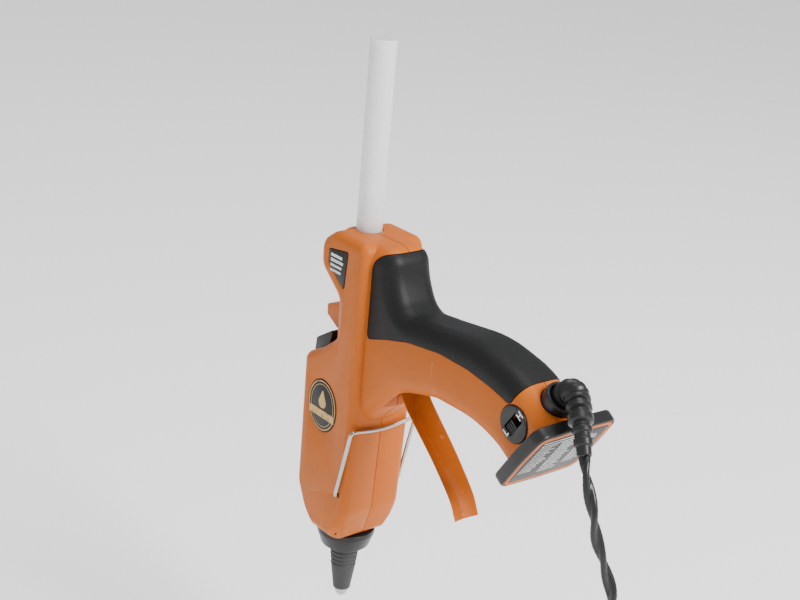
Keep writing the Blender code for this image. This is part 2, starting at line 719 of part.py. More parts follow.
def feed_carriage():
    """A ring on the stick with two cheeks that carry the jaw and the trigger's pins."""
    bore = STICK_RADIUS + STICK_FREE
    front, rear = ARM_PIN_Z - 5 * MM, ARM_PIN_Z + 6 * MM
    obj = part("feed_carriage", rod_mesh("ring", CARRIAGE_RADIUS, (0, 0, front), (0, 0, rear)),
               BLACK)
    for side in (-1, 1):
        inner, outer = sorted((side * (JAW_HALF + GAP), side * CHEEK_OUTER))
        cheek = as_tool(block_mesh("cheek", (5 * MM, inner, front + 2 * MM),
                                   (13 * MM, outer, rear - MM)), f"cheek_{side}")
        combine(obj, cheek, "UNION")
        pin = rod_tool(f"carriage_pin_{side}", ARM_PIN_RADIUS,
                       (ARM_PIN_X, side * (CHEEK_OUTER - MM), ARM_PIN_Z),
                       (ARM_PIN_X, side * (ARM_OUTER + GAP), ARM_PIN_Z), 16)
        combine(obj, pin, "UNION")
    combine(obj, rod_tool("carriage_bore", bore, (0, 0, front - MM), (0, 0, rear + MM)),
            "DIFFERENCE")
    window = as_tool(block_mesh("window", (3 * MM, -JAW_HALF - GAP, front + 2 * MM),
                                (14 * MM, JAW_HALF + GAP, rear + 2 * MM)), "jaw_window")
    combine(obj, window, "DIFFERENCE")
    combine(obj, rod_tool("jaw_pin_hole", JAW_PIN_RADIUS + SLIDE / 2,
                          (JAW_X, -CHEEK_OUTER - MM, JAW_Z), (JAW_X, CHEEK_OUTER + MM, JAW_Z), 16),
            "DIFFERENCE")
    return obj


def grip_jaw():
    """A pawl whose toe bites the stick when the trigger is squeezed."""
    x, z = JAW_X / MM, JAW_Z / MM
    toe = (STICK_RADIUS + JAW_CLEAR) / MM
    outline = fillet(((toe, z - 3.4, 0.3), (toe + 1.6, z - 4.2, 0.3), (x + 2.2, z - 2, 1.5),
                      (x + 2.2, z + 2, 1.5), (x - 1.2, z + 2.2, 1.2)))
    obj = part("grip_jaw", flat_mesh("grip_jaw", outline, JAW_HALF, 0, side_frame()), STEEL,
               (JAW_X, 0, JAW_Z))
    hole = rod_tool("jaw_hole", JAW_PIN_RADIUS + SLIDE / 2, (JAW_X, -6 * MM, JAW_Z),
                    (JAW_X, 6 * MM, JAW_Z), 16)
    combine(obj, hole, "DIFFERENCE")
    return obj


def return_spring():
    """Pushes the carriage back; it closes up as the stick is fed."""
    low, high = 77 * MM, ARM_PIN_Z - 5.9 * MM
    turns, steps = 4.5, 12
    count = round(turns * steps)
    points = []
    for index in range(count + 1):
        angle = math.tau * index / steps
        points.append((SPRING_RADIUS * math.cos(angle), SPRING_RADIUS * math.sin(angle),
                       low + (high - low) * index / count))
    return part("return_spring", tube_mesh("return_spring", points, SPRING_WIRE, 1), STEEL)


glue_stick()
feed_carriage()
grip_jaw()
part("jaw_pin", rod_mesh("jaw_pin", JAW_PIN_RADIUS, (JAW_X, -CHEEK_OUTER, JAW_Z),
                         (JAW_X, CHEEK_OUTER, JAW_Z), 16), STEEL)
return_spring()


# --- trigger --------------------------------------------------------------------------------

# rim of the blade on the handle's side, from the pivot to the tip: (x, z) in millimetres
BLADE_ROUTE = ((34.8, 88), (37.6, 83), (42, 77.8), (48.8, 71.8), (56.6, 65.4), (64.3, 58.6),
               (74.4, 48.4), (79, 40.6))


def blade_section(half, depth):
    """Bowed towards the finger, hollow towards the handle with steep sides and a centre crease."""
    steps = [share / 5 for share in range(-5, 6)]
    outer = [(half * share, -depth * (1 - share ** 2)) for share in steps]
    wall = min(TRIGGER_WALL, 0.6 * depth)
    floor = depth - wall
    inner = [(half - RIM_LIP, 0), (0.7 * half, -0.52 * floor), (0, -floor),
             (-0.7 * half, -0.52 * floor), (-half + RIM_LIP, 0)]
    return outer + inner


def blade_mesh():
    """Sections along the route; near the pivot the blade thins to leave the slot open."""
    path = [Vector((p.x, 0, p.y)) * MM
            for p in smooth_path([(x, z, 0) for x, z in BLADE_ROUTE], 5)]
    bm = bmesh.new()
    rings = []
    for index, place in enumerate(path):
        share = index / (len(path) - 1)
        ahead = path[min(index + 1, len(path) - 1)] - path[max(index - 1, 0)]
        normal = Vector((-ahead.z, 0, ahead.x)).normalized()
        half = TRIGGER_HALF * (1.07 - 0.12 * share)
        fullness = min(1, 0.42 + 2.4 * share)
        section = blade_section(half, TRIGGER_DEPTH * (1.2 - 0.6 * share) * fullness)
        rings.append([bm.verts.new(place + Y_AXIS * a + normal * b) for a, b in section])
    for low, high in zip(rings, rings[1:]):
        for index in range(len(low)):
            following = (index + 1) % len(low)
            bm.faces.new((low[index], low[following], high[following], high[index]))
    bm.faces.new(rings[0])
    bm.faces.new(rings[-1])
    bmesh.ops.recalc_face_normals(bm, faces=bm.faces)
    mesh = bpy.data.meshes.new("trigger")
    bm.to_mesh(mesh)
    bm.free()
    return mesh


def trigger():
    pivot = Vector((PIVOT_X, 0, PIVOT_Z))
    pin = Vector((ARM_PIN_X, 0, ARM_PIN_Z))
    obj = part("trigger", blade_mesh(), ORANGE, pivot)
    hub = rod_tool("hub", HUB_RADIUS, pivot - Y_AXIS * ARM_OUTER, pivot + Y_AXIS * ARM_OUTER)
    combine(obj, hub, "UNION")
    neck = fillet(((31.5, 90, 0), (32.6, 85.4, 1), (36.6, 81.6, 1), (38.6, 82.6, 1),
                   (37, 90, 0)))
    combine(obj, plate_tool("neck", neck, TRIGGER_HALF - 0.8 * MM), "UNION")
    along = (pin - pivot).normalized()
    up = Vector((-along.z, 0, along.x))
    arm = []
    for centre, radius, start in ((pivot, HUB_RADIUS - 0.4 * MM, -90), (pin, ARM_END_RADIUS, 90)):
        for step in range(7):
            angle = math.radians(start - 30 * step)
            spot = centre + (-along * math.cos(angle) + up * math.sin(angle)) * radius
            arm.append(Vector((spot.x, spot.z)))
    for side in (-1, 1):
        mesh = flat_mesh("arm", arm, (ARM_OUTER - ARM_INNER) / 2, 0,
                         side_frame(side * (ARM_OUTER + ARM_INNER) / 2))
        combine(obj, as_tool(mesh, f"arm_{side}"), "UNION")
    slot = block_mesh("fork", (-ARM_PIN_RADIUS - 0.8 * MM, -0.02, -ARM_PIN_RADIUS - SLIDE),
                      (ARM_PIN_RADIUS + 4 * MM, 0.02, ARM_PIN_RADIUS + SLIDE))
    rows = Matrix((along, Y_AXIS, along.cross(Y_AXIS))).transposed()
    slot.transform(Matrix.Translation(pin) @ rows.to_4x4())
    combine(obj, as_tool(slot, "fork_slot"), "DIFFERENCE")
    combine(obj, rod_tool("hub_bore", PIVOT_RADIUS + GAP, pivot - Y_AXIS * 0.02,
                          pivot + Y_AXIS * 0.02), "DIFFERENCE")
    close_seams(obj)
    return obj


trigger()
part("trigger_pin", rod_mesh("trigger_pin", PIVOT_RADIUS, (PIVOT_X, -PIVOT_HALF, PIVOT_Z),
                             (PIVOT_X, PIVOT_HALF, PIVOT_Z), 20), STEEL)


# --- wire stand -----------------------------------------------------------------------------

def wire_stand():
    """A bail in two holes of the barrel, folded against its underside."""
    out = BARREL_HALF + STAND_WIRE + 0.55 * MM
    root = BARREL_HALF - 1.4 * MM
    leg = Vector((math.sin(STAND_LEAN), 0, math.cos(STAND_LEAN)))
    foot = Vector((STAND_X, 0, STAND_Z))

    def spot(reach, y):
        return foot + leg * reach * MM + Y_AXIS * y

    reach = STAND_REACH / MM
    half = [spot(0, root), spot(0, out - 1.5 * MM), spot(0.45, out - 0.45 * MM),
            spot(1.6, out), spot(reach * 0.5, out), spot(reach - 2.4, out),
            spot(reach - 0.9, out - 0.4 * MM), spot(reach - 0.2, out - 1.6 * MM),
            spot(reach - 0.5, out - 4 * MM), spot(reach - 1.6, out * 0.35)]
    points = half + [spot(reach - 2, 0)] + [Vector((p.x, -p.y, p.z)) for p in reversed(half)]
    return part("wire_stand", tube_mesh("wire_stand", points, STAND_WIRE), CHROME, foot)


wire_stand()


# --- switch ---------------------------------------------------------------------------------

def switch_plate():
    face = -HANDLE_HALF - SWITCH_PROUD
    mesh = rod_mesh("switch_plate", SWITCH_RADIUS, (SWITCH_X, face, SWITCH_Z),
                    (SWITCH_X, face + SWITCH_THICK, SWITCH_Z), 40)
    obj = part("switch_plate", mesh, BLACK)
    combine(obj, switch_hole, "DIFFERENCE")
    return obj


def switch_slider():
    """At rest it stands at the low end of its slot."""
    mesh = switch_block(STEM_LENGTH, STEM_WIDTH, SWITCH_BODY_HALF + 2 * GAP,
                        HANDLE_HALF + SWITCH_PROUD - 0.4 * MM)
    mesh.transform(Matrix.Translation(-BUTT_ALONG * SWITCH_TRAVEL / 2))
    return part("switch_slider", mesh, BLACK, (SWITCH_X, -HANDLE_HALF, SWITCH_Z))


switch_plate()
switch_slider()
part("switch_body", switch_block(11 * MM, 9 * MM, -3 * MM, SWITCH_BODY_HALF), BLACK)


# --- foot plate -----------------------------------------------------------------------------

def foot_outline(inset):
    w, l, r = FOOT_WIDTH / 2 / MM - 1, FOOT_LENGTH / 2 / MM - 1, FOOT_CORNER / MM
    outline = fillet(((-w, -l, r), (0, -l - 1, 60), (w, -l, r), (w + 1, 0, 60), (w, l, r),
                      (0, l + 1, 60), (-w, l, r), (-w - 1, 0, 60)))
    return grown(outline, -inset)


def foot_layer(name, inset, top, bottom, edge=0.0):
    """A plate between two depths inside the foot's face."""
    return flat_mesh(name, foot_outline(inset), (bottom - top) / 2, edge,
                     butt_frame((bottom + top) / 2))


def foot_rim():
    obj = part("foot_rim", foot_layer("foot_rim", 0, 0, FOOT_THICK, 0.8 * MM), RUBBER)
    pocket = as_tool(foot_layer("pocket", RIM_WIDTH, -MM, POCKET_DEPTH), "foot_pocket")
    combine(obj, pocket, "DIFFERENCE")
    return obj


def foot_plate():
    obj = part("foot_plate", foot_layer("foot_plate", RIM_WIDTH + GAP, 0, POCKET_DEPTH - GAP),
               ORANGE)
    bed = as_tool(foot_layer("bed", RIM_WIDTH + GAP + BORDER_WIDTH, -MM, LABEL_THICK + GAP),
                  "label_bed")
    combine(obj, bed, "DIFFERENCE")
    return obj


foot_rim()
foot_plate()
part("foot_label", foot_layer("foot_label", RIM_WIDTH + 2 * GAP + BORDER_WIDTH, 0, LABEL_THICK),
     BADGE)


# --- swivel, elbow and cord -----------------------------------------------------------------

swivel_frame = axis_frame(swivel_place(0), BUTT_ALONG)
cup = CUP_RADIUS / MM
seat_depth = CUP_SEAT / MM
stem = STEM_RADIUS / MM
turned_mm("swivel_socket", [
    (cup - 0.7, CUP_HEIGHT / MM), (cup, CUP_HEIGHT / MM - 1), (cup, -seat_depth),
    (stem + 0.4, -seat_depth), (stem + 0.4, -0.6), (5.5, 1.4), (5.5, CUP_HEIGHT / MM)],
    BLACK, 32, swivel_frame)
turned_mm("swivel_retainer", [(6, -5.6), (6, -7), (stem + 0.3, -7), (stem + 0.3, -5.6)],
          STEEL, 24, swivel_frame)

outlet = BUTT_OUT * math.cos(ELBOW_TURN) + Y_AXIS * math.sin(ELBOW_TURN)


def elbow_path():
    """Points and radii from the stem, round the bend and down the ribs to the cord."""
    path = [(swivel_place(h * MM), r) for h, r in ((-7.6, 3.6), (-0.5, 3.6), (1.9, 4.9),
                                                  (4.4, 4.9))]
    start = swivel_place(5.5 * MM)
    centre = start + outlet * ELBOW_BEND
    for step in range(1, 10):
        angle = math.radians(90 * step / 9)
        spot = centre - outlet * ELBOW_BEND * math.cos(angle) + BUTT_ALONG * ELBOW_BEND * math.sin(
            angle)
        path.append((spot, 4.9 if step % 2 else 4.1))
    end = path[-1][0]
    droop = Vector((0, 0, -1))
    for reach, fall, radius in ((2.2, 0, 4.1), (3.2, 0, 4.9), (4.6, 0.1, 4.9), (5.2, 0.1, 4.0),
                                (6.4, 0.2, 4.0), (7, 0.3, 4.8), (9.4, 0.5, 4.8), (10, 0.6, 3.3),
                                (11.2, 0.8, 3.3), (11.7, 0.9, 3.8), (13.2, 1.2, 3.7),
                                (13.7, 1.3, 3.1), (15, 1.7, 3.1), (15.5, 1.8, 3.5),
                                (17.4, 2.4, 3.4), (18, 2.6, 2.9), (20.5, 3.5, 2.8)):
        path.append((end + outlet * reach * MM + droop * fall * MM, radius))
    return path


elbow = elbow_path()
part("cord_elbow", tube_mesh("cord_elbow", [p for p, _ in elbow], 5 * MM, 3,
                             [r * MM for _, r in elbow]), BLACK, swivel_place(0))

elbow_end = elbow[-1][0]
elbow_way = (elbow[-1][0] - elbow[-2][0]).normalized()
cord_radius = CORD_DIAMETER / 2
CORD_ROUTE = [elbow_end + elbow_way * GAP, elbow_end + elbow_way * 6 * MM] + [
    Vector(p) * MM for p in (
        (158.6, -14.8, 87), (161, -12.6, 75), (164.3, -9.8, 64), (167.2, -7.8, 54.5),
        (168, -8.3, 43.6), (168, -12.9, 36))]
cord_points = smooth_path(CORD_ROUTE, 10 * MM)
part("cord", tube_mesh("cord", cord_points, cord_radius), RUBBER)


def ring_frame():
    """The coil hangs in a plane across the gun: its axis is X."""
    return Matrix.Translation(COIL_CENTRE) @ Matrix.Rotation(math.radians(90), 4, "Y")


def cord_coil():
    profile = []
    sides = 10
    for index in range(sides):
        angle = math.radians(90) - math.tau * index / sides
        profile.append((COIL_MEAN_RADIUS + COIL_SECTION * math.cos(angle),
                        COIL_SECTION * math.sin(angle)))
    return turned("cord_coil", profile, parts, RUBBER, ring_frame(), 28)


def on_coil(angle):
    """A point on the coil's middle turn; the angle starts at +Y and rises towards +Z."""
    turn = math.radians(angle)
    return COIL_CENTRE + Vector((0, math.cos(turn), math.sin(turn))) * COIL_MEAN_RADIUS


def coil_tie():
    inner = (COIL_SECTION + TIE_ROOM) / MM
    angle = math.radians(TIE_ANGLE)
    along = Vector((0, -math.sin(angle), math.cos(angle)))
    return turned_mm("coil_tie", [(inner + 1, 2.2), (inner + 1, -2.2), (inner, -2.2),
                                  (inner, 2.2)], BLACK, 20,
                     axis_frame(on_coil(TIE_ANGLE), along))


cord_coil()
coil_tie()

tail_start = on_coil(180) + Vector((0, 0, -25.2 * MM))
PLUG_TOP = tail_start + Vector((0, 2 * MM, -20 * MM))
tail_points = smooth_path([tail_start, tail_start + Vector((0, 0.4 * MM, -7 * MM)),
                           PLUG_TOP + Vector((0, -0.4 * MM, 7 * MM)), PLUG_TOP], 7 * MM)
part("cord_tail", tube_mesh("cord_tail", tail_points, cord_radius), RUBBER)


def plug_body():
    """A moulded two-blade plug, hanging blades down."""
    top = -GAP / MM
    obj = turned_mm("plug_body", [
        (2.7, top), (3.3, top - 4), (3.3, top - 6), (4, top - 6.4), (4.2, top - 10),
        (3.6, top - 10.4), (3.8, top - 13), (4.8, top - 14), (5.2, top - 20), (0, top - 20),
        (0, top)], RUBBER, 20, Matrix.Translation(PLUG_TOP))
    outline = fillet(((-7, -18, 3), (-10.5, -23, 4), (-11, -38, 1.5), (11, -38, 1.5),
                      (10.5, -23, 4), (7, -18, 3)))
    rows = Matrix(((0, 0, 1), (1, 0, 0), (0, 1, 0)))
    block = flat_mesh("block", outline, 6.5 * MM, 2 * MM,
                      Matrix.Translation(PLUG_TOP) @ rows.to_4x4())
    combine(obj, as_tool(block, "plug_block"), "UNION")
    for side in (-1, 1):
        room = as_tool(blade_block(side, GAP), f"blade_room_{side}")
        combine(obj, room, "DIFFERENCE")
    return obj


def blade_block(side, room):
    centre = PLUG_TOP + Vector((0, side * BLADE_SPACING / 2, 0))
    half_x, half_y = BLADE_WIDTH / 2 + room, BLADE_THICK / 2 + room
    return block_mesh("blade", centre + Vector((-half_x, -half_y, -54 * MM)),
                      centre + Vector((half_x, half_y, -33 * MM + room)))


plug_body()
for blade_index, blade_side in enumerate((-1, 1)):
    part(f"plug_blade_{blade_index + 1}", blade_block(blade_side, 0), STEEL)

for obj in parts.objects:
    obj.data.shade_smooth()
    obj.data.set_sharp_from_angle(angle=math.radians(35))
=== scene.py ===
import math
import bpy
import bmesh
from mathutils import Matrix, Vector


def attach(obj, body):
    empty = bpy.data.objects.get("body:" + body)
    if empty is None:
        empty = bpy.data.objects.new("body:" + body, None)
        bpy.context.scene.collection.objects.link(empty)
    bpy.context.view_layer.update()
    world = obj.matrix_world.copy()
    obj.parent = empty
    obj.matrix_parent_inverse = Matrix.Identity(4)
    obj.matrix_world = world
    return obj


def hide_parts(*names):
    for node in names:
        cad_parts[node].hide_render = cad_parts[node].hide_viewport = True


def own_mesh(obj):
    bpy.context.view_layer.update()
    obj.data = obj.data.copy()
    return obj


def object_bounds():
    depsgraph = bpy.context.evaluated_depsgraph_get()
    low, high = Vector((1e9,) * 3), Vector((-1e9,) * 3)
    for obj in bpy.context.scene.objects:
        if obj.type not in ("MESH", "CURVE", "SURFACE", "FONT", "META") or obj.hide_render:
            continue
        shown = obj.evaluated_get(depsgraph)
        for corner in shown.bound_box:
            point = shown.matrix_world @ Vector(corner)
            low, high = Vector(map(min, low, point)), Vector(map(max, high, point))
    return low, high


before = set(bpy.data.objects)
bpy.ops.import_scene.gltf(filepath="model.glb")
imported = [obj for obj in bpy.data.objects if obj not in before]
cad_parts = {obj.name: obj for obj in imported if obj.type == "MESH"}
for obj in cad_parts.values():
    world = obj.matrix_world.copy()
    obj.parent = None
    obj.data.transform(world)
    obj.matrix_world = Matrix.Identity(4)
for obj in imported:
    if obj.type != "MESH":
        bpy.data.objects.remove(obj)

# a hot glue gun hanging nose down: barrel along Z, handle towards +X, left side towards -Y
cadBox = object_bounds()
mm = 0.001
gap = 0.3 * mm
yAxis = Vector((0, 1, 0))
print("stage: frame loaded,", len(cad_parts), "nodes")

# camera, floor and light

cameraSetup = {
    "place": (0.480, -0.3773, 0.3396),
    "forward": (-0.721, 0.597, -0.352),
    "up": (-0.326, 0.157, 0.932),
    "lens": 68.3,
}


def placed(name, data):
    obj = bpy.data.objects.new(name, data)
    bpy.context.scene.collection.objects.link(obj)
    return obj


def makeCamera(setup):
    back = -Vector(setup["forward"]).normalized()
    up = Vector(setup["up"])
    up = (up - back * up.dot(back)).normalized()
    right = up.cross(back)
    data = bpy.data.cameras.new("camera")
    data.lens = setup["lens"]
    data.sensor_width = 36
    data.clip_start = 0.01
    camera = placed("camera", data)
    turn = Matrix((right, up, back)).transposed().to_4x4()
    camera.matrix_world = Matrix.Translation(setup["place"]) @ turn
    bpy.context.scene.camera = camera


makeCamera(cameraSetup)

roomSetup = {"aim": Vector((0.07, 0, 0.08)), "colour": (0.95, 0.97, 1.0, 1), "strength": 0.6}
lightSetup = {
    # name: (place, size in metres, watts)
    "keyRight": ((1.15, 0.25, 0.95), 0.55, 30.0),
    "fillLeft": ((-0.2, -1.5, 0.5), 1.2, 2.5),
    "above": ((0.0, 0.2, 1.7), 0.9, 15.0),
}


def makeLights(setup, room):
    for name, (place, size, watts) in setup.items():
        data = bpy.data.lights.new(name, "AREA")
        data.size = size
        data.energy = watts
        lamp = placed(name, data)
        lamp.location = place
        lamp.rotation_euler = (room["aim"] - Vector(place)).to_track_quat("-Z", "Y").to_euler()
    world = bpy.data.worlds.new("room")
    bpy.context.scene.world = world
    world.use_nodes = True
    backdrop = world.node_tree.nodes["Background"]
    backdrop.inputs[0].default_value = room["colour"]
    backdrop.inputs[1].default_value = room["strength"]


makeLights(lightSetup, roomSetup)


# shader expressions

class Flow:
    # a socket of a node tree that can be used in ordinary arithmetic
    def __init__(self, tree, socket=None):
        self.tree = tree
        self.socket = socket

    def make(self, kind, settings=None, values=None, out=0):
        node = self.tree.nodes.new(kind)
        for key, value in (settings or {}).items():
            if key == "stops":
                while len(node.color_ramp.elements) < len(value):
                    node.color_ramp.elements.new(1)
                for element, (place, colour) in zip(node.color_ramp.elements, value):
                    element.position = place
                    element.color = (*colour, 1) if isinstance(colour, tuple) else (
                        colour, colour, colour, 1)
            else:
                setattr(node, key, value)
        for key, value in (values or {}).items():
            if isinstance(value, Flow):
                self.tree.links.new(value.socket, node.inputs[key])
            else:
                node.inputs[key].default_value = value
        return Flow(self.tree, node.outputs[out])

    def reckon(self, operation, first, second=0.0):
        return self.make("ShaderNodeMath", {"operation": operation}, {0: first, 1: second})

    def __add__(self, other):
        return self.reckon("ADD", self, other)

    def __sub__(self, other):
        return self.reckon("SUBTRACT", self, other)

    def __rsub__(self, other):
        return self.reckon("SUBTRACT", other, self)

    def __mul__(self, other):
        return self.reckon("MULTIPLY", self, other)

    __radd__ = __add__
    __rmul__ = __mul__

    def steps(self, *stops):
        return self.make("ShaderNodeValToRGB", {"stops": stops}, {0: self})

    def blend(self, low, high):
        # low where this is 0, high where it is 1
        full = [(*c, 1) if isinstance(c, tuple) else c for c in (low, high)]
        return self.make("ShaderNodeMix", {"data_type": "RGBA"}, {0: self, 6: full[0], 7: full[1]},
                         out=2)

    def noise(self, scale, detail=3.0, roughness=0.55):
        return self.make("ShaderNodeTexNoise", None, {
            "Vector": self, "Scale": scale, "Detail": detail, "Roughness": roughness})

    def cells(self, scale):
        return self.make("ShaderNodeTexVoronoi", None, {"Vector": self, "Scale": scale})

    def stretched(self, scale, turn=(0, 0, 0)):
        return self.make("ShaderNodeMapping", None, {"Vector": self, "Rotation": turn,
                                                     "Scale": scale})

    def raised(self, strength, distance):
        # this height as a normal
        return self.make("ShaderNodeBump", None, {"Height": self, "Strength": strength,
                                                  "Distance": distance})


def finish(name, settings, paint):
    made = bpy.data.materials.new(name)
    made.use_nodes = True
    tree = made.node_tree
    tree.nodes.clear()
    shader = tree.nodes.new("ShaderNodeBsdfPrincipled")
    end = tree.nodes.new("ShaderNodeOutputMaterial")
    tree.links.new(shader.outputs[0], end.inputs[0])
    for key, value in settings.items():
        shader.inputs[key].default_value = value
    place = Flow(tree).make("ShaderNodeTexCoord", out=3)
    for key, flow in paint(place).items():
        tree.links.new(flow.socket, shader.inputs[key])
    return made


def scuffs(place, scale, turn, share):
    # thin streaks in one direction, broken up by a coarse noise; share is how much is bare
    streak = place.stretched((scale, scale, scale * 0.06), turn).noise(1.0, 2.0).steps(
        (share, 0.0), (share + 0.05, 1.0))
    patch = place.noise(55.0, 2.0).steps((0.48, 0.0), (0.62, 1.0))
    return streak * patch


def paintOrange(place):
    cloud = place.noise(28.0, 4.0)
    speck = place.noise(900.0, 2.0)
    grime = place.noise(70.0, 5.0, 0.65).steps((0.52, 0.0), (0.72, 1.0))
    worn = scuffs(place, 420.0, (0.5, 0.2, 0.4), 0.66)
    colour = cloud.blend((0.47, 0.102, 0.004), (0.55, 0.130, 0.007))
    colour = (speck * 0.18).blend(colour, (0.44, 0.09, 0.010))
    colour = (grime * 0.16).blend(colour, (0.27, 0.085, 0.024))
    colour = (worn * 0.35).blend(colour, (0.74, 0.30, 0.09))
    grain = place.cells(2600.0) * 0.6 + speck * 0.4
    return {
        "Base Color": colour,
        "Roughness": cloud * 0.14 + 0.36 + grime * 0.1,
        "Normal": (grain + worn * 0.5).raised(0.32, 0.12 * mm),
    }


def paintRubber(place):
    cloud = place.noise(40.0, 4.0)
    grain = place.cells(2200.0)
    rubbed = place.noise(18.0, 3.0).steps((0.45, 0.0), (0.7, 1.0))
    marks = scuffs(place, 300.0, (0.2, 0.9, 0.1), 0.70)
    dust = place.noise(1500.0, 1.0).steps((0.70, 0.0), (0.76, 1.0))
    colour = cloud.blend((0.006, 0.0062, 0.006), (0.011, 0.0115, 0.011))
    colour = (marks * 0.3 + dust * 0.25).blend(colour, (0.07, 0.07, 0.067))
    return {
        "Base Color": colour,
        "Roughness": 0.56 - rubbed * 0.14 + marks * 0.1,
        "Normal": (grain + marks * 0.6).raised(0.4, 0.14 * mm),
    }


def paintNylon(place):
    # smooth moulded black plastic
    cloud = place.noise(60.0, 4.0)
    marks = scuffs(place, 500.0, (0.7, 0.1, 0.3), 0.68)
    colour = cloud.blend((0.010, 0.010, 0.0105), (0.018, 0.018, 0.018))
    colour = (marks * 0.3).blend(colour, (0.09, 0.09, 0.09))
    return {
        "Base Color": colour,
        "Roughness": cloud * 0.16 + 0.24 + marks * 0.15,
        "Normal": (cloud * 0.6 + place.noise(1200.0, 2.0) * 0.4).raised(0.18, 0.1 * mm),
    }


def paintCord(place):
    cloud = place.noise(90.0, 3.0)
    dull = place.noise(400.0, 4.0)
    return {
        "Base Color": cloud.blend((0.010, 0.010, 0.0105), (0.020, 0.020, 0.020)),
        "Roughness": dull * 0.2 + 0.20,
        "Normal": dull.raised(0.22, 0.08 * mm),
    }


def paintGlue(place):
    cloud = place.noise(36.0, 4.0)
    drawn = place.stretched((500.0, 500.0, 14.0)).noise(1.0, 2.0)     # extrusion lines
    specks = place.noise(700.0, 1.0).steps((0.72, 0.0), (0.78, 1.0))
    colour = cloud.blend((0.90, 0.92, 0.92), (0.96, 0.97, 0.97))
    return {
        "Base Color": (specks * 0.12).blend(colour, (0.55, 0.55, 0.52)),
        "Roughness": cloud * 0.18 + 0.18,
        "Normal": (drawn + cloud * 0.8).raised(0.2, 0.12 * mm),
    }


def paintChrome(place):
    cloud = place.noise(160.0, 4.0)
    drawn = place.stretched((900.0, 900.0, 60.0)).noise(1.0, 2.0)
    return {
        "Base Color": cloud.blend((0.36, 0.35, 0.33), (0.52, 0.51, 0.49)),
        "Roughness": cloud * 0.16 + 0.10,
        "Normal": drawn.raised(0.12, 0.05 * mm),
    }


def paintZinc(place):
    cloud = place.cells(420.0) * 0.6 + place.noise(120.0, 4.0) * 0.4
    return {
        "Base Color": cloud.blend((0.40, 0.41, 0.42), (0.62, 0.62, 0.61)),
        "Roughness": cloud * 0.22 + 0.26,
        "Normal": place.noise(700.0, 3.0).raised(0.2, 0.06 * mm),
    }


def paintCast(place):
    cloud = place.noise(140.0, 5.0)
    burnt = place.noise(60.0, 3.0).steps((0.45, 0.0), (0.75, 1.0))
    colour = cloud.blend((0.38, 0.38, 0.38), (0.60, 0.60, 0.60))
    return {
        "Base Color": (burnt * 0.5).blend(colour, (0.30, 0.19, 0.09)),
        "Roughness": cloud * 0.25 + 0.30,
        "Normal": place.noise(900.0, 3.0).raised(0.35, 0.12 * mm),
    }


def siliconeSkin(place, low, high, dullness, grain):
    cloud = place.noise(80.0, 4.0)
    return {
        "Base Color": cloud.blend(low, high),
        "Roughness": cloud * 0.2 + dullness,
        "Normal": place.noise(1400.0, 3.0).raised(grain, 0.1 * mm),
    }


def paintSilicone(place):
    return siliconeSkin(place, (0.020, 0.020, 0.021), (0.042, 0.041, 0.040), 0.5, 0.3)


def paintClearSilicone(place):
    return siliconeSkin(place, (0.55, 0.57, 0.55), (0.72, 0.73, 0.70), 0.4, 0.2)


def paintBoard(place):
    track = place.make("ShaderNodeTexBrick", None, {
        "Vector": place, "Scale": 400.0, "Mortar Size": 0.03}, out=1)
    weave = place.noise(1500.0, 2.0)
    colour = weave.blend((0.010, 0.075, 0.030), (0.020, 0.110, 0.045))
    return {
        "Base Color": (track * 0.6).blend(colour, (0.08, 0.22, 0.10)),
        "Roughness": weave * 0.2 + 0.3,
        "Normal": track.raised(0.3, 0.1 * mm),
    }


def paintPrint(place):
    # black film with a satin face
    cloud = place.noise(90.0, 4.0)
    marks = scuffs(place, 600.0, (0.3, 0.6, 0.9), 0.69)
    colour = cloud.blend((0.009, 0.009, 0.009), (0.016, 0.016, 0.016))
    return {
        "Base Color": (marks * 0.35).blend(colour, (0.12, 0.12, 0.12)),
        "Roughness": cloud * 0.16 + 0.32 + marks * 0.2,
        "Normal": place.noise(500.0, 3.0).raised(0.12, 0.06 * mm),
    }


def printedInk(place, scale, whole, rubbed, fresh, dullness):
    worn = place.noise(scale, 3.0).steps((0.30, 0.0), (whole, 1.0))
    return {
        "Base Color": worn.blend(rubbed, fresh),
        "Roughness": worn * 0.1 + dullness,
        "Normal": worn.raised(0.2, 0.03 * mm),
    }


def paintWhiteInk(place):
    return printedInk(place, 900.0, 0.44, (0.30, 0.30, 0.29), (0.74, 0.74, 0.72), 0.42)


def paintGoldInk(place):
    return printedInk(place, 700.0, 0.46, (0.20, 0.12, 0.04), (0.58, 0.36, 0.12), 0.36)


def paintFloor(place):
    cloud = place.noise(3.0, 4.0)
    return {
        "Base Color": cloud.blend((0.93, 0.93, 0.92), (0.95, 0.95, 0.94)),
        "Roughness": cloud * 0.1 + 0.7,
        "Normal": place.noise(40.0, 4.0).raised(0.06, 2 * mm),
    }


orangeAbs = finish("orangeAbs", {"Specular IOR Level": 0.2}, paintOrange)
blackRubber = finish("blackRubber", {"Specular IOR Level": 0.2}, paintRubber)
blackNylon = finish("blackNylon", {"Specular IOR Level": 0.3}, paintNylon)
cordVinyl = finish("cordVinyl", {"Specular IOR Level": 0.35}, paintCord)
glueWax = finish("glueWax", {
    "Subsurface Weight": 0.6, "Subsurface Radius": (1, 1, 1), "Subsurface Scale": 6 * mm,
    "Transmission Weight": 0.3, "IOR": 1.48, "Coat Weight": 0.2, "Coat Roughness": 0.15}, paintGlue)
brightWire = finish("brightWire", {"Metallic": 1.0}, paintChrome)
zincSteel = finish("zincSteel", {"Metallic": 1.0}, paintZinc)
castAluminium = finish("castAluminium", {"Metallic": 1.0}, paintCast)
darkSilicone = finish("darkSilicone", {}, paintSilicone)
clearSilicone = finish("clearSilicone", {"Transmission Weight": 0.2}, paintClearSilicone)
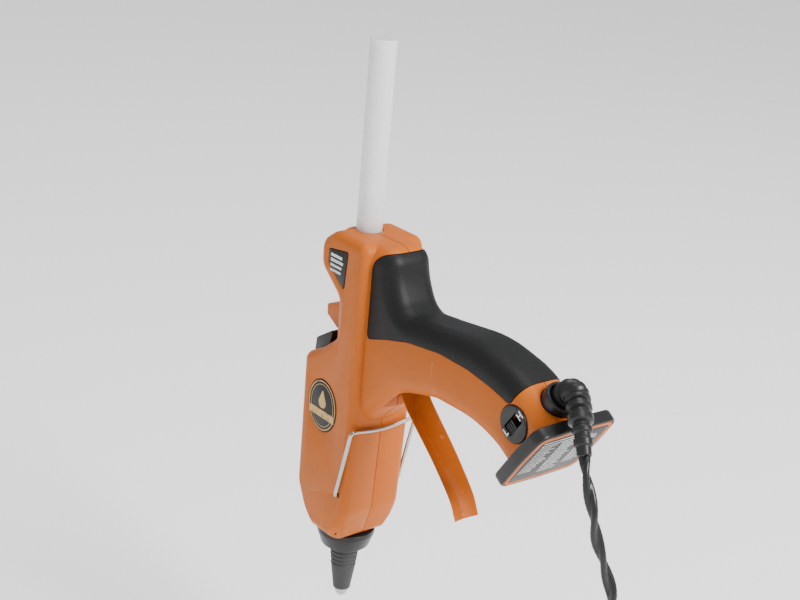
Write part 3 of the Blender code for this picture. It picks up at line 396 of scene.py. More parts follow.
boardGreen = finish("boardGreen", {}, paintBoard)
printedBlack = finish("printedBlack", {"Specular IOR Level": 0.25}, paintPrint)
whiteInk = finish("whiteInk", {}, paintWhiteInk)
goldInk = finish("goldInk", {"Metallic": 0.35}, paintGoldInk)
floorPaint = finish("floorPaint", {"Emission Color": (1, 1, 0.99, 1), "Emission Strength": 0.42},
                    paintFloor)

floorSetup = {"half": 6.0, "drop": 1.0 * mm}


def makeFloor(setup):
    level = cadBox[0][2] - setup["drop"]
    half = setup["half"]
    mesh = bpy.data.meshes.new("floor")
    corners = [(-half, -half, level), (half, -half, level), (half, half, level),
               (-half, half, level)]
    mesh.from_pydata(corners, [], [(0, 1, 2, 3)])
    mesh.materials.append(floorPaint)
    placed("floor", mesh)


makeFloor(floorSetup)
print("stage: camera, light, floor and finishes made")


# mesh helpers

def filletOutline(corners, turnStep=5.0):
    # corners are (a, b, radius) in millimetres; the result is a closed outline in metres
    outline = []
    for index, (a, b, radius) in enumerate(corners):
        here = Vector((a, b))
        back = Vector(corners[index - 1][:2]) - here
        ahead = Vector(corners[(index + 1) % len(corners)][:2]) - here
        turn = back.angle(ahead)
        if radius <= 0 or turn > math.radians(179):
            outline.append(here * mm)
            continue
        reach = min(radius / math.tan(turn / 2), 0.49 * back.length, 0.49 * ahead.length)
        centre = here + (back.normalized() + ahead.normalized()).normalized() * (
            reach / math.cos(turn / 2))
        start = here + back.normalized() * reach - centre
        bend = math.pi - turn
        if back.x * ahead.y - back.y * ahead.x > 0:
            bend = -bend
        steps = max(3, math.ceil(abs(math.degrees(bend)) / turnStep))
        for step in range(steps + 1):
            outline.append((centre + Matrix.Rotation(bend * step / steps, 2) @ start) * mm)
    return outline


def grownOutline(outline, distance):
    count = len(outline)
    area = sum(outline[i - 1].x * outline[i].y - outline[i].x * outline[i - 1].y
               for i in range(count))
    side = 1 if area > 0 else -1
    moved = []
    for index, here in enumerate(outline):
        before = (here - outline[index - 1]).normalized()
        after = (outline[(index + 1) % count] - here).normalized()
        normalA = Vector((before.y, -before.x)) * side
        normalB = Vector((after.y, -after.x)) * side
        middle = (normalA + normalB).normalized()
        moved.append(here + middle * distance / max(0.5, middle.dot(normalA)))
    return moved


def meshFrom(bm, name):
    mesh = bpy.data.meshes.new(name)
    bm.to_mesh(mesh)
    bm.free()
    return mesh


def cleaned(mesh, merge=0.01 * mm):
    bm = bmesh.new()
    bm.from_mesh(mesh)
    bmesh.ops.remove_doubles(bm, verts=bm.verts, dist=merge)
    bmesh.ops.recalc_face_normals(bm, faces=bm.faces)
    bm.to_mesh(mesh)
    bm.free()
    return mesh


def evaluated(obj):
    # the object's mesh with its modifiers and its place applied; the object itself goes
    bpy.context.view_layer.update()
    graph = bpy.context.evaluated_depsgraph_get()
    mesh = bpy.data.meshes.new_from_object(obj.evaluated_get(graph))
    mesh.transform(obj.matrix_world)
    bpy.data.objects.remove(obj, do_unlink=True)
    return mesh


def plateMesh(outline, half, edge, space, rounds=5):
    # a plate 2 * half thick whose rims are rounded by edge
    curve = bpy.data.curves.new("plate", "CURVE")
    curve.dimensions = "2D"
    curve.fill_mode = "BOTH"
    curve.extrude = half - edge
    curve.bevel_depth = edge
    curve.bevel_resolution = rounds if edge > 0.5 * mm else 1
    curve.offset = -edge
    spline = curve.splines.new("POLY")
    spline.points.add(len(outline) - 1)
    for point, spot in zip(spline.points, outline):
        point.co = (spot.x, spot.y, 0, 1)
    spline.use_cyclic_u = True
    helper = placed("plateHelper", curve)
    helper.matrix_world = space
    mesh = cleaned(evaluated(helper))
    bpy.data.curves.remove(curve)
    return mesh


# outlines drawn in X and Z, thickness along Y; local Z points out of the left side
sideRows = Matrix(((1, 0, 0), (0, 0, -1), (0, 1, 0))).to_4x4()


def sideSpace(y=0.0):
    return Matrix.Translation((0, y, 0)) @ sideRows


def axisSpace(origin, direction):
    turn = Vector((0, 0, 1)).rotation_difference(Vector(direction))
    return Matrix.Translation(origin) @ turn.to_matrix().to_4x4()


def blockMesh(low, high):
    low, high = Vector(low), Vector(high)
    bm = bmesh.new()
    bmesh.ops.create_cube(bm, size=1)
    mesh = meshFrom(bm, "block")
    mesh.transform(Matrix.Translation((low + high) / 2) @ Matrix.Diagonal((*(high - low), 1)))
    return mesh


def rodMesh(radius, start, end, sides=48):
    start, end = Vector(start), Vector(end)
    bm = bmesh.new()
    bmesh.ops.create_cone(bm, cap_ends=True, segments=sides, radius1=radius, radius2=radius,
                          depth=(end - start).length)
    mesh = meshFrom(bm, "rod")
    mesh.transform(axisSpace((start + end) / 2, (end - start).normalized()))
    return mesh


def lathe(profile, space=None, sides=64):
    # a closed profile of (radius, height) in metres turned round local Z
    bm = bmesh.new()
    rings = []
    for radius, height in profile:
        if radius < 1e-7:
            rings.append([bm.verts.new((0, 0, height))] * sides)
            continue
        rings.append([bm.verts.new((radius * math.cos(math.tau * k / sides),
                                    radius * math.sin(math.tau * k / sides), height))
                      for k in range(sides)])
    for index, low in enumerate(rings):
        high = rings[(index + 1) % len(rings)]
        for k in range(sides):
            corners = [low[k], low[(k + 1) % sides], high[(k + 1) % sides], high[k]]
            corners = list(dict.fromkeys(corners))
            if len(corners) > 2:
                bm.faces.new(corners)
    bmesh.ops.recalc_face_normals(bm, faces=bm.faces)
    mesh = meshFrom(bm, "lathe")
    if space is not None:
        mesh.transform(space)
    return mesh


def softProfile(corners, turnStep=15.0):
    # a lathe profile with its corners rounded: (radius, height, rounding) in millimetres
    return [(max(0.0, p.x), p.y) for p in filletOutline(corners, turnStep)]


def ringSkin(rings, name):
    # rings of points joined in order and capped at both ends
    bm = bmesh.new()
    rings = [[bm.verts.new(spot) for spot in ring] for ring in rings]
    for low, high in zip(rings, rings[1:]):
        for k in range(len(low)):
            after = (k + 1) % len(low)
            bm.faces.new((low[k], low[after], high[after], high[k]))
    bm.faces.new(rings[0])
    bm.faces.new(rings[-1])
    bmesh.ops.recalc_face_normals(bm, faces=bm.faces)
    return meshFrom(bm, name)


def sweep(path, section):
    # carry a section along the path without twist; section(index) gives (a, b) points
    count = len(path)
    aheads = [(path[min(i + 1, count - 1)] - path[max(i - 1, 0)]).normalized()
              for i in range(count)]
    side = aheads[0].orthogonal().normalized()
    rings = []
    for index, (place, ahead) in enumerate(zip(path, aheads)):
        side = (side - ahead * side.dot(ahead)).normalized()
        other = ahead.cross(side)
        rings.append([place + side * a + other * b for a, b in section(index)])
    return ringSkin(rings, "sweep")


def circleSection(radius, sides):
    return [(radius * math.cos(math.tau * k / sides), radius * math.sin(math.tau * k / sides))
            for k in range(sides)]


def smoothPath(route, spacing):
    # points about a spacing apart on a smooth curve through the route's points
    places = [Vector(p) for p in route]
    ends = [2 * places[0] - places[1]] + places + [2 * places[-1] - places[-2]]
    path = [places[0]]
    for index in range(1, len(ends) - 2):
        before, start, end, after = ends[index - 1:index + 3]
        steps = max(1, round((end - start).length / spacing))
        for step in range(1, steps + 1):
            t = step / steps
            weights = (2 * t ** 3 - 3 * t ** 2 + 1, t ** 3 - 2 * t ** 2 + t,
                       -2 * t ** 3 + 3 * t ** 2, t ** 3 - t ** 2)
            path.append(start * weights[0] + (end - before) * 0.5 * weights[1]
                        + end * weights[2] + (after - start) * 0.5 * weights[3])
    return path


def carved(base, steps):
    # base with each (operation, mesh) applied in turn
    obj = placed("carved", base)
    helpers = []
    for index, (operation, mesh) in enumerate(steps):
        tool = placed(f"tool{index}", mesh)
        tool.hide_render = True
        helpers.append(tool)
        cut = obj.modifiers.new("cut", "BOOLEAN")
        cut.operation = operation
        cut.solver = "MANIFOLD"
        cut.object = tool
    mesh = evaluated(obj)
    for tool in helpers:
        bpy.data.objects.remove(tool, do_unlink=True)
    return mesh


def softened(mesh, width, segments=2, angle=38.0, flat=0.15):
    # the sharp edges of a cut shape rounded
    bm = bmesh.new()
    bm.from_mesh(mesh)
    bmesh.ops.remove_doubles(bm, verts=bm.verts, dist=0.02 * mm)
    bmesh.ops.dissolve_degenerate(bm, dist=0.02 * mm, edges=bm.edges)
    bmesh.ops.dissolve_limit(bm, angle_limit=math.radians(flat), verts=bm.verts, edges=bm.edges)
    bm.to_mesh(mesh)
    bm.free()
    obj = placed("softened", mesh)
    bevel = obj.modifiers.new("edges", "BEVEL")
    bevel.width = width
    bevel.segments = segments
    bevel.limit_method = "ANGLE"
    bevel.angle_limit = math.radians(angle)
    bevel.use_clamp_overlap = True
    return evaluated(obj)


def piece(name, mesh, material, body, *nodes, sharp=35.0):
    mesh.name = name
    mesh.materials.clear()
    mesh.materials.append(material)
    mesh.shade_smooth()
    mesh.set_sharp_from_angle(angle=math.radians(sharp))
    obj = placed(name, mesh)
    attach(obj, body)
    if nodes:
        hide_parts(*nodes)
    return obj


# places shared by the handle's pieces

butt = {
    "angle": math.radians(55.8),
    "face": Vector((125, 0, 90.4)) * mm,       # middle of the foot's outer face
    "swivel": Vector((121.5, 0, 110.2)) * mm,
    "switch": Vector((112, 0, 100)) * mm,
}
buttAlong = Vector((math.cos(butt["angle"]), 0, math.sin(butt["angle"])))
buttOut = Vector((math.sin(butt["angle"]), 0, -math.cos(butt["angle"])))


def buttSpace(depth=0.0):
    rows = Matrix((yAxis, buttAlong, buttOut)).transposed()
    return Matrix.Translation(butt["face"] - buttOut * depth) @ rows.to_4x4()


def swivelPlace(height):
    return butt["swivel"] + buttAlong * height


# cord first: a twisted pair from the elbow down to its coil and plug

cordFacts = {
    "diameter": 4.8 * mm,
    "strand": 1.3 * mm,             # radius of one of the two strands
    "spread": 1.1 * mm,             # from the cord's middle to a strand's middle
    "twist": 34 * mm,               # length of one full turn of the pair
    "turns": 7,
    "coilCentre": Vector((168, -12, 0)) * mm,
    "coilRadius": 26 * mm,
    "bundle": 5.53 * mm,            # radius of the ring that the turns lie on
    "coilStart": 118.0,             # degrees round the coil, from +Y towards +Z
    "plugDrop": 45.2 * mm,          # plug's top below the coil's middle
    "step": 2.2 * mm,
    "elbowTurn": math.radians(-26),
    "elbowBend": 7 * mm,
}
outlet = (buttOut * math.cos(cordFacts["elbowTurn"]) + yAxis * math.sin(cordFacts["elbowTurn"]))
plugTop = cordFacts["coilCentre"] + Vector((0, -24 * mm, -cordFacts["plugDrop"]))


def elbowRoute(facts):
    # (point, radius) from the stem in the handle, round the bend and down the ribs
    route = [(swivelPlace(h * mm), r) for h, r in ((-7.6, 3.6), (-0.5, 3.6), (0.6, 4.9),
                                                  (4.4, 4.9))]
    start = swivelPlace(5.5 * mm)
    bend = facts["elbowBend"]
    ribs = 11
    for step in range(1, ribs + 1):
        angle = math.radians(90 * step / ribs)
        spot = (start + outlet * bend * (1 - math.cos(angle))
                + buttAlong * bend * math.sin(angle))
        route.append((spot, 4.95 if step % 2 else 3.9))
    end = route[-1][0]
    down = Vector((0, 0, -1))
    for reach, fall, radius in (
            (1.0, 0, 4.9), (1.6, 0, 3.8), (2.6, 0, 3.8), (3.2, 0, 4.9), (4.6, 0.1, 4.9),
            (5.2, 0.1, 3.7), (6.4, 0.2, 3.7), (7, 0.3, 4.8), (9.4, 0.5, 4.8), (10, 0.6, 3.3),
            (11.2, 0.8, 3.3), (11.7, 0.9, 3.9), (13.2, 1.2, 3.8), (13.7, 1.3, 3.0),
            (15, 1.7, 3.0), (15.5, 1.8, 3.6), (17.4, 2.4, 3.5), (18, 2.6, 2.8),
            (20.5, 3.5, 2.75)):
        route.append((end + outlet * reach * mm + down * fall * mm, radius))
    return route


elbowSpots = elbowRoute(cordFacts)
elbowEnd = elbowSpots[-1][0]
elbowWay = (elbowSpots[-1][0] - elbowSpots[-2][0]).normalized()


def coilSpot(facts, turn):
    # turn counts degrees from the coil's start
    share = turn / (360.0 * facts["turns"])
    slot = math.radians(20 + 360 * share)                 # place of this turn in the bundle
    angle = math.radians(facts["coilStart"] + turn)
    radius = facts["coilRadius"] + facts["bundle"] * math.cos(slot)
    return facts["coilCentre"] + Vector((facts["bundle"] * math.sin(slot),
                                         radius * math.cos(angle), radius * math.sin(angle)))


def cordRoute(facts):
    hang = [elbowEnd + elbowWay * gap, elbowEnd + elbowWay * 6 * mm] + [
        Vector(p) * mm for p in ((158.6, -14.8, 87), (161, -12.6, 75), (164.3, -9.8, 64),
                                 (167.2, -7.8, 54.5), (168.0, -7.6, 44.5), (168.2, -11.5, 37.5))]
    whole = facts["turns"] * 360 + 62
    wound = [coilSpot(facts, turn) for turn in range(12, int(whole) + 1, 12)]
    last = wound[-1]
    tail = [last + Vector((-0.5, -1.2, -7)) * mm, last + Vector((-2.4, -1.8, -14)) * mm]
    tail += [plugTop + Vector((0, -0.6, 8)) * mm, plugTop]
    return smoothPath(hang + wound + tail, facts["step"])


def twistedSection(facts, run):
    # outline of two strands side by side, turned with the run along the cord
    sides = 10
    angle = math.tau * run / facts["twist"]
    across = (math.cos(angle), math.sin(angle))
    meet = math.acos(min(1.0, facts["spread"] / facts["strand"] * 0.86))
    points = []
    for side in (1, -1):
        for k in range(sides):
            turn = -(math.pi - meet) + 2 * (math.pi - meet) * k / (sides - 1)
            a = side * (facts["spread"] + facts["strand"] * math.cos(turn))
            b = side * facts["strand"] * math.sin(turn)
            points.append((a * across[0] - b * across[1], a * across[1] + b * across[0]))
    return points


cordPath = cordRoute(cordFacts)
cordRuns = [0.0]
for before, after in zip(cordPath, cordPath[1:]):
    cordRuns.append(cordRuns[-1] + (after - before).length)
cordMesh = sweep(cordPath, lambda index: twistedSection(cordFacts, cordRuns[index]))
powerCord = piece("powerCord", cordMesh, cordVinyl, "swivel", "cord", "cord_coil", "cord_tail",
                  sharp=60.0)
print("stage: cord", round(cordRuns[-1], 3), "m in", len(cordPath), "steps")


def ribbedElbow():
    # the route taken in fine steps, its rings rounded between one radius and the next
    places, radii = [], []
    for (start, low), (end, high) in zip(elbowSpots, elbowSpots[1:]):
        steps = max(2, math.ceil((end - start).length / (0.35 * mm)))
        for step in range(steps):
            share = step / steps
            places.append(start.lerp(end, share))
            radii.append((low + (high - low) * share * share * (3 - 2 * share)) * mm)
    places.append(elbowEnd)
    radii.append(elbowSpots[-1][1] * mm)
    smooth = [places[0]] + [(a + b * 2 + c) / 4 for a, b, c in zip(places, places[1:], places[2:])]
    smooth.append(places[-1])
    return sweep(smooth, lambda index: circleSection(radii[index], 40))


piece("cordElbow", ribbedElbow(), blackNylon, "swivel", "cord_elbow", sharp=50.0)

tieSetup = {"angle": 40.0, "inner": 8.45, "wide": 2.2, "thick": 1.0}


def coilTie(setup):
    turn = math.radians(setup["angle"])
    centre = cordFacts["coilCentre"] + Vector((0, math.cos(turn), math.sin(turn))) * (
        cordFacts["coilRadius"])
    along = Vector((0, -math.sin(turn), math.cos(turn)))
    inner, outer, wide = setup["inner"], setup["inner"] + setup["thick"], setup["wide"]
    band = lathe(softProfile([(outer, wide, 0.4), (outer, -wide, 0.4), (inner, -wide, 0.3),
                              (inner, wide, 0.3)]), axisSpace(centre, along))
    return piece("coilTie", band, blackNylon, "swivel", "coil_tie")


tie = coilTie(tieSetup)

plugSetup = {"spacing": 12.7, "bladeWide": 6.3, "bladeThick": 1.5, "bladeEnd": -54.0,
             "bladeTop": -33.0, "bladeHole": -49.5, "grooves": (-26.0, -28.6, -31.2)}


def powerPlug(setup):
    neck = lathe(softProfile([
        (2.7, -0.3, 0.2), (3.3, -4, 0.5), (3.3, -5.8, 0.3), (4.0, -6.4, 0.4), (4.2, -10, 0.4),
        (3.6, -10.4, 0.3), (3.8, -13, 0.3), (4.8, -14, 0.5), (5.2, -21, 0), (0, -21, 0),
        (0, -0.3, 0)]), Matrix.Translation(plugTop))
    outline = filletOutline(((-7, -18, 3), (-10.5, -23, 4), (-11, -38, 1.5), (11, -38, 1.5),
                             (10.5, -23, 4), (7, -18, 3)))
    rows = Matrix(((0, 0, 1), (1, 0, 0), (0, 1, 0)))
    space = Matrix.Translation(plugTop) @ rows.to_4x4()
    block = plateMesh(outline, 6.5 * mm, 2.4 * mm, space)
    grooves = []
    for side in (-1, 1):
        for height in setup["grooves"]:
            low = plugTop + Vector((side * 6.1 - 0.9, -6.5, height - 0.6)) * mm
            grooves.append(("DIFFERENCE", blockMesh(low, low + Vector((1.8, 13, 1.2)) * mm)))
    blades = []
    for side in (-1, 1):
        centre = plugTop + Vector((0, side * setup["spacing"] / 2, 0)) * mm
        half = Vector((setup["bladeWide"] / 2, setup["bladeThick"] / 2, 0)) * mm
        room = Vector((0.3, 0.3, 0)) * mm
        grooves.append(("DIFFERENCE", blockMesh(
            centre - half - room + Vector((0, 0, -60)) * mm,
            centre + half + room + Vector((0, 0, setup["bladeTop"] + 0.3)) * mm)))
        wide, end, top = setup["bladeWide"] / 2, setup["bladeEnd"], setup["bladeTop"]
        tip = filletOutline(((-wide, end, 1.6), (wide, end, 1.6), (wide, top, 0), (-wide, top, 0)))
        blade = plateMesh(tip, half.y, 0.15 * mm, Matrix.Translation(centre) @ sideRows)
        hole = rodMesh(1.4 * mm, centre + Vector((0, -4, setup["bladeHole"])) * mm,
                       centre + Vector((0, 4, setup["bladeHole"])) * mm, 32)
        blades.append(carved(blade, [("DIFFERENCE", hole)]))
    body = softened(carved(block, [("UNION", neck)] + grooves), 0.25 * mm)
    made = [piece("plugBody", body, blackRubber, "swivel", "plug_body")]
    for index, blade in enumerate(blades):
        made.append(piece(f"plugBlade{index + 1}", blade, zincSteel, "swivel",
                          f"plug_blade_{index + 1}"))
    return made


plugPieces = powerPlug(plugSetup)
elbowEnd + elbowWay * gap
print("stage: elbow, tie and plug made")


# housing: the same outlines as the frame's shells, cut finer

housing = {
    "length": 141.0, "barrelHalf": 16.0, "handleHalf": 12.3, "wall": 2.2, "barrelEdge": 4.0,
    "handleEdge": 8.0, "gripThick": 2.0, "coreRadius": 10.2, "rootHalf": 10.3,
    "triggerHalf": 7.7, "edge": 0.32,
    "screws": ((-12.6, 70.0), (-12.6, 26.0), (12.8, 131.0), (72.0, 101.0), (97.0, 99.5),
               (22.8, 74.0)),
    "screwHead": 2.7, "screwSunk": 1.0, "screwThick": 1.8,
    "stickHole": 6.1, "noseHole": 9.6, "standHole": 1.2, "swivelHole": 7.3, "dialHole": 7.7,
    "finHalf": 3.2, "insertRoom": 8.5, "buttCut": 5.6, "seatDeep": 2.1,
}
# room for the slider: length, width, and how far in and out it reaches from the middle
sliderRoom = tuple(v * mm for v in (9.3, 4.9, 4, 17))
barrelOutline = filletOutline((
    (-13, 0, 4.5), (-19.6, 16, 14), (-19.6, 80, 4.5), (-8, 86.5, 9), (2.6, 95, 8), (2.6, 112, 9),
    (-12.5, 123.5, 9), (-12.5, 135, 7), (-4, 141, 9), (19, 141, 5), (19, 58, 20),
    (17, 16, 14), (12, 0, 4.5)))
handleOutline = filletOutline((
    (-4, 141, 0), (29.5, 141, 9.5), (32.5, 128, 30), (39, 117, 16), (56, 118.8, 40),
    (84, 122.5, 60), (108, 118, 40), (131, 104.5, 0), (143, 96, 0), (124, 68, 0),
    (113, 77.5, 30), (102, 85, 40), (86, 89.2, 60), (62, 88.8, 30), (40, 82.5, 24),
    (24, 66, 18), (16, 57, 0), (-4, 57, 0)))
gripOutline = filletOutline((
    (19.8, 139.2, 9), (19.8, 100.4, 1.5), (32, 104.6, 20), (46, 108.6, 30), (66, 111.4, 30),
    (84, 111.2, 30), (98, 109.2, 10), (108.6, 106.6, 2.5), (113.5, 117, 6), (122, 134, 0),
    (44, 134, 4), (44, 139.2, 0)))
finOutline = filletOutline(((-6, 105.5, 0), (-21.6, 100.2, 1.2), (-21.4, 95.4, 1.2),
                            (-6, 87.5, 0)))
insertOutline = filletOutline(((-9.2, 93, 1), (-21.2, 85.2, 2), (-22, 78.5, 1.2),
                               (-17.2, 76.6, 1), (-11.5, 83.5, 2)))
labelOutline = filletOutline(((-5.4, 132.9, 0.8), (7.6, 134.9, 0.8), (6.2, 117.9, 0.8),
                              (-5.6, 126.5, 0.8)))
rootOutline = filletOutline((
    (4, 112, 0), (4, 68, 0), (24.5, 71.5, 8), (40, 86, 12), (60, 91.6, 10), (68, 95, 0),
    (62, 105, 0), (44, 105, 10), (30, 103.5, 10), (26, 112, 0)))
slotOutline = filletOutline(((28.5, 88, 0), (28.5, 62, 0), (57, 74, 0), (57, 91, 2)))
badgeOutline = [Vector((-3 + 10.2 * math.cos(math.tau * k / 72),
                        61 + 12 * math.sin(math.tau * k / 72))) * mm for k in range(72)]
noseProfile = ((15.5, 0), (19.5, 8), (25, 24))


def switchBlock(length, width, inner, outer):
    mesh = blockMesh((-length / 2, -width / 2, -outer), (length / 2, width / 2, -inner))
    rows = Matrix((buttAlong, buttOut, yAxis)).transposed()
    mesh.transform(Matrix.Translation(butt["switch"]) @ rows.to_4x4())
    return mesh


def sideRecess(outline, depth=1.1 * mm):
    half = housing["barrelHalf"] * mm
    return plateMesh(grownOutline(outline, gap), (depth + 2 * mm) / 2, 0,
                     sideSpace(-half + depth - (depth + 2 * mm) / 2))


def gripRoom(setup):
    thick = setup["gripThick"] * mm + gap
    room = plateMesh(grownOutline(gripOutline, gap), 20 * mm, 0, sideSpace())
    core = plateMesh(grownOutline(handleOutline, -thick), setup["handleHalf"] * mm - thick,
                     (setup["handleEdge"] - setup["gripThick"] - 0.5) * mm, sideSpace())
    return carved(room, [("DIFFERENCE", core)])


def screwHalf(setup, spot):
    return setup["barrelHalf"] if spot[0] < 19 else setup["handleHalf"]


def housingBody(setup):
    length, half, wide = setup["length"], setup["barrelHalf"], setup["handleHalf"]
    wall, edge = setup["wall"], setup["handleEdge"]
    space = sideSpace()
    taper = lathe([(60 * mm, noseProfile[-1][1] * mm), (60 * mm, -2 * mm),
                   (noseProfile[0][0] * mm, -2 * mm)] + [(r * mm, z * mm) for r, z in noseProfile],
                  sides=96)
    inset = (setup["gripThick"] + wall) * mm
    steps = [
        ("DIFFERENCE", taper),
        ("UNION", rodMesh(setup["coreRadius"] * mm, (0, 0, 60 * mm), (0, 0, (length - 2) * mm),
                          72)),
        ("UNION", plateMesh(handleOutline, wide * mm, edge * mm, space, 7)),
        ("UNION", plateMesh(finOutline, setup["finHalf"] * mm, 0.4 * mm, space)),
        ("DIFFERENCE", plateMesh(grownOutline(barrelOutline, -wall * mm), (half - wall) * mm, 0,
                                 space)),
        ("DIFFERENCE", rodMesh((setup["coreRadius"] - 2) * mm, (0, 0, 30 * mm),
                               (0, 0, (length - 3) * mm))),
        ("DIFFERENCE", plateMesh(grownOutline(handleOutline, -inset), wide * mm - inset,
                                 edge * mm - inset, space)),
        ("DIFFERENCE", plateMesh(rootOutline, setup["rootHalf"] * mm, (edge - wall) * mm, space)),
        ("DIFFERENCE", plateMesh(slotOutline, setup["triggerHalf"] * mm, 0, space)),
        ("DIFFERENCE", rodMesh(setup["stickHole"] * mm, (0, 0, 130 * mm),
                               (0, 0, (length + 5) * mm), 72)),
        ("DIFFERENCE", rodMesh(setup["noseHole"] * mm, (0, 0, -5 * mm), (0, 0, 12 * mm), 72)),
        ("DIFFERENCE", rodMesh(setup["standHole"] * mm, (12.5 * mm, -0.02, 24 * mm),
                               (12.5 * mm, 0.02, 24 * mm), 24)),
        ("DIFFERENCE", plateMesh(grownOutline(insertOutline, gap), setup["insertRoom"] * mm, 0,
                                 space)),
        ("DIFFERENCE", rodMesh(setup["swivelHole"] * mm, swivelPlace(-2.9 * mm),
                               swivelPlace(12 * mm), 64)),
        ("DIFFERENCE", gripRoom(setup)),
        ("DIFFERENCE", sideRecess(labelOutline)),
        ("DIFFERENCE", sideRecess(badgeOutline)),
    ]
    cut = blockMesh((-0.05, -0.05, 0), (0.05, 0.05, 0.06))
    cut.transform(buttSpace(setup["buttCut"] * mm))
    steps.append(("DIFFERENCE", cut))
    face = butt["switch"] - yAxis * wide * mm
    steps.append(("DIFFERENCE", rodMesh(setup["dialHole"] * mm, face + yAxis * 1.4 * mm,
                                        face - yAxis * 5 * mm, 72)))
    steps.append(("DIFFERENCE", switchBlock(*sliderRoom)))
    for spot in setup["screws"]:
        outer = screwHalf(setup, spot) - setup["screwSunk"]
        seat = Vector((spot[0], outer, spot[1])) * mm
        steps.append(("DIFFERENCE", rodMesh((setup["screwHead"] + 0.3) * mm,
                                            seat - yAxis * setup["seatDeep"] * mm,
                                            seat + yAxis * 6 * mm, 36)))
    return carved(plateMesh(barrelOutline, half * mm, setup["barrelEdge"] * mm, space, 7), steps)


def splitHousing(setup):
    # each half keeps a thin line of shadow along the joint
    body = housingBody(setup)
    for name, node, low, high in (("leftShell", "left_shell", -0.06, -gap / 2),
                                  ("rightShell", "right_shell", gap / 2, 0.06)):
        half = carved(body.copy(), [("INTERSECT", blockMesh((-0.06, low, -0.06),
                                                           (0.2, high, 0.2)))])
        piece(name, softened(half, setup["edge"] * mm), orangeAbs, "housing", node)


splitHousing(housing)
print("stage: housing made")


def softGrip(setup):
    thick = setup["gripThick"] * mm
    outside = plateMesh(handleOutline, setup["handleHalf"] * mm + 0.12 * mm,
                        setup["handleEdge"] * mm, sideSpace(), 9)
    under = plateMesh(grownOutline(handleOutline, -thick), setup["handleHalf"] * mm - thick,
                      (setup["handleEdge"] - 0.5) * mm - thick, sideSpace(), 7)
    zone = plateMesh(gripOutline, 20 * mm, 0, sideSpace())
    mesh = carved(outside, [("INTERSECT", zone), ("DIFFERENCE", under)])
    return piece("softGrip", softened(mesh, 0.55 * mm, 3), blackRubber, "housing", "rubber_grip")


softGrip(housing)
piece("topInsert", softened(plateMesh(insertOutline, 8.2 * mm, 0, sideSpace()), 0.5 * mm, 3),
      blackNylon, "housing", "top_insert")
print("stage: grip and insert made")


# trigger

triggerSetup = {
    # rim of the blade on the handle's side, from the pivot to the tip: (x, z)
    "route": ((34.8, 88), (37.6, 83), (42, 77.8), (48.8, 71.8), (56.6, 65.4), (64.3, 58.6),
              (74.4, 48.4), (79, 40.6)),
    "half": 6.6, "depth": 5.4, "wall": 1.15, "lip": 0.9,
    "pivot": Vector((34, 0, 92)), "armPin": Vector((9, 0, 97.8)),
    "hub": 4.5, "armInner": 7.9, "armOuter": 9.4, "armEnd": 3.4,
}


def bladeSection(half, depth, setup):
    # bowed towards the finger; towards the handle a channel with a sharp crease
    outer = []
    for k in range(-12, 13):
        share = k / 12
        outer.append((half * share, -depth * (1 - share ** 2) ** 0.85))
    floor = depth - min(setup["wall"], 0.6 * depth)
    lip = setup["lip"]
    inner = [(half - 0.25, 0.12), (half - 0.6, 0.14), (half - lip, -0.12),
             (0.5 * half, -0.56 * floor), (0.02 * half, -floor), (-0.02 * half, -floor),
             (-0.5 * half, -0.56 * floor), (-half + lip, -0.12), (-half + 0.6, 0.14),
             (-half + 0.25, 0.12)]
    return [(a * mm, b * mm) for a, b in outer + inner]


def bladeMesh(setup):
    path = smoothPath([Vector((x, 0, z)) * mm for x, z in setup["route"]], 1.2 * mm)
    count = len(path)
    rings = []
    for index, spot in enumerate(path):
        share = index / (count - 1)
        ahead = path[min(index + 1, count - 1)] - path[max(index - 1, 0)]
        normal = Vector((-ahead.z, 0, ahead.x)).normalized()
        half = setup["half"] * (1.07 - 0.12 * share)
        depth = setup["depth"] * (1.2 - 0.6 * share) * min(1, 0.42 + 2.4 * share)
        rings.append([spot + yAxis * a + normal * b
                      for a, b in bladeSection(half, depth, setup)])
    return ringSkin(rings, "blade")


def triggerMesh(setup):
    pivot, pin = setup["pivot"] * mm, setup["armPin"] * mm
    outer, inner = setup["armOuter"] * mm, setup["armInner"] * mm
    along = (pin - pivot).normalized()
    up = Vector((-along.z, 0, along.x))
    neck = filletOutline(((31.5, 90, 0), (32.6, 85.4, 1), (36.6, 81.6, 1), (38.6, 82.6, 1),
                          (37, 90, 0)))
    arm = []
    for centre, radius, start in ((pivot, (setup["hub"] - 0.4) * mm, -90),
                                  (pin, setup["armEnd"] * mm, 90)):
        for step in range(19):
            angle = math.radians(start - 10 * step)
            spot = centre + (-along * math.cos(angle) + up * math.sin(angle)) * radius
            arm.append(Vector((spot.x, spot.z)))
    steps = [("UNION", rodMesh(setup["hub"] * mm, pivot - yAxis * outer, pivot + yAxis * outer)),
             ("UNION", plateMesh(neck, (setup["half"] - 0.8) * mm, 0, sideSpace()))]
    for side in (-1, 1):
        steps.append(("UNION", plateMesh(arm, (outer - inner) / 2, 0,
                                         sideSpace(side * (outer + inner) / 2))))
    slot = blockMesh(Vector((-2.3, -20, -1.85)) * mm, Vector((5.5, 20, 1.85)) * mm)
    rows = Matrix((along, yAxis, along.cross(yAxis))).transposed()
    slot.transform(Matrix.Translation(pin) @ rows.to_4x4())
    steps.append(("DIFFERENCE", slot))
    steps.append(("DIFFERENCE", rodMesh(2.3 * mm, pivot - yAxis * 0.02, pivot + yAxis * 0.02)))
    return carved(bladeMesh(setup), steps)


piece("trigger", triggerMesh(triggerSetup), orangeAbs, "trigger", "trigger", sharp=24.0)
print("stage: trigger made")

# glue stick and wire stand

stickSetup = {"radius": 5.6, "front": 58.0, "end": 222.0, "round": 0.7,
              "dish": 0.35}                              # the cut ends are slightly hollow


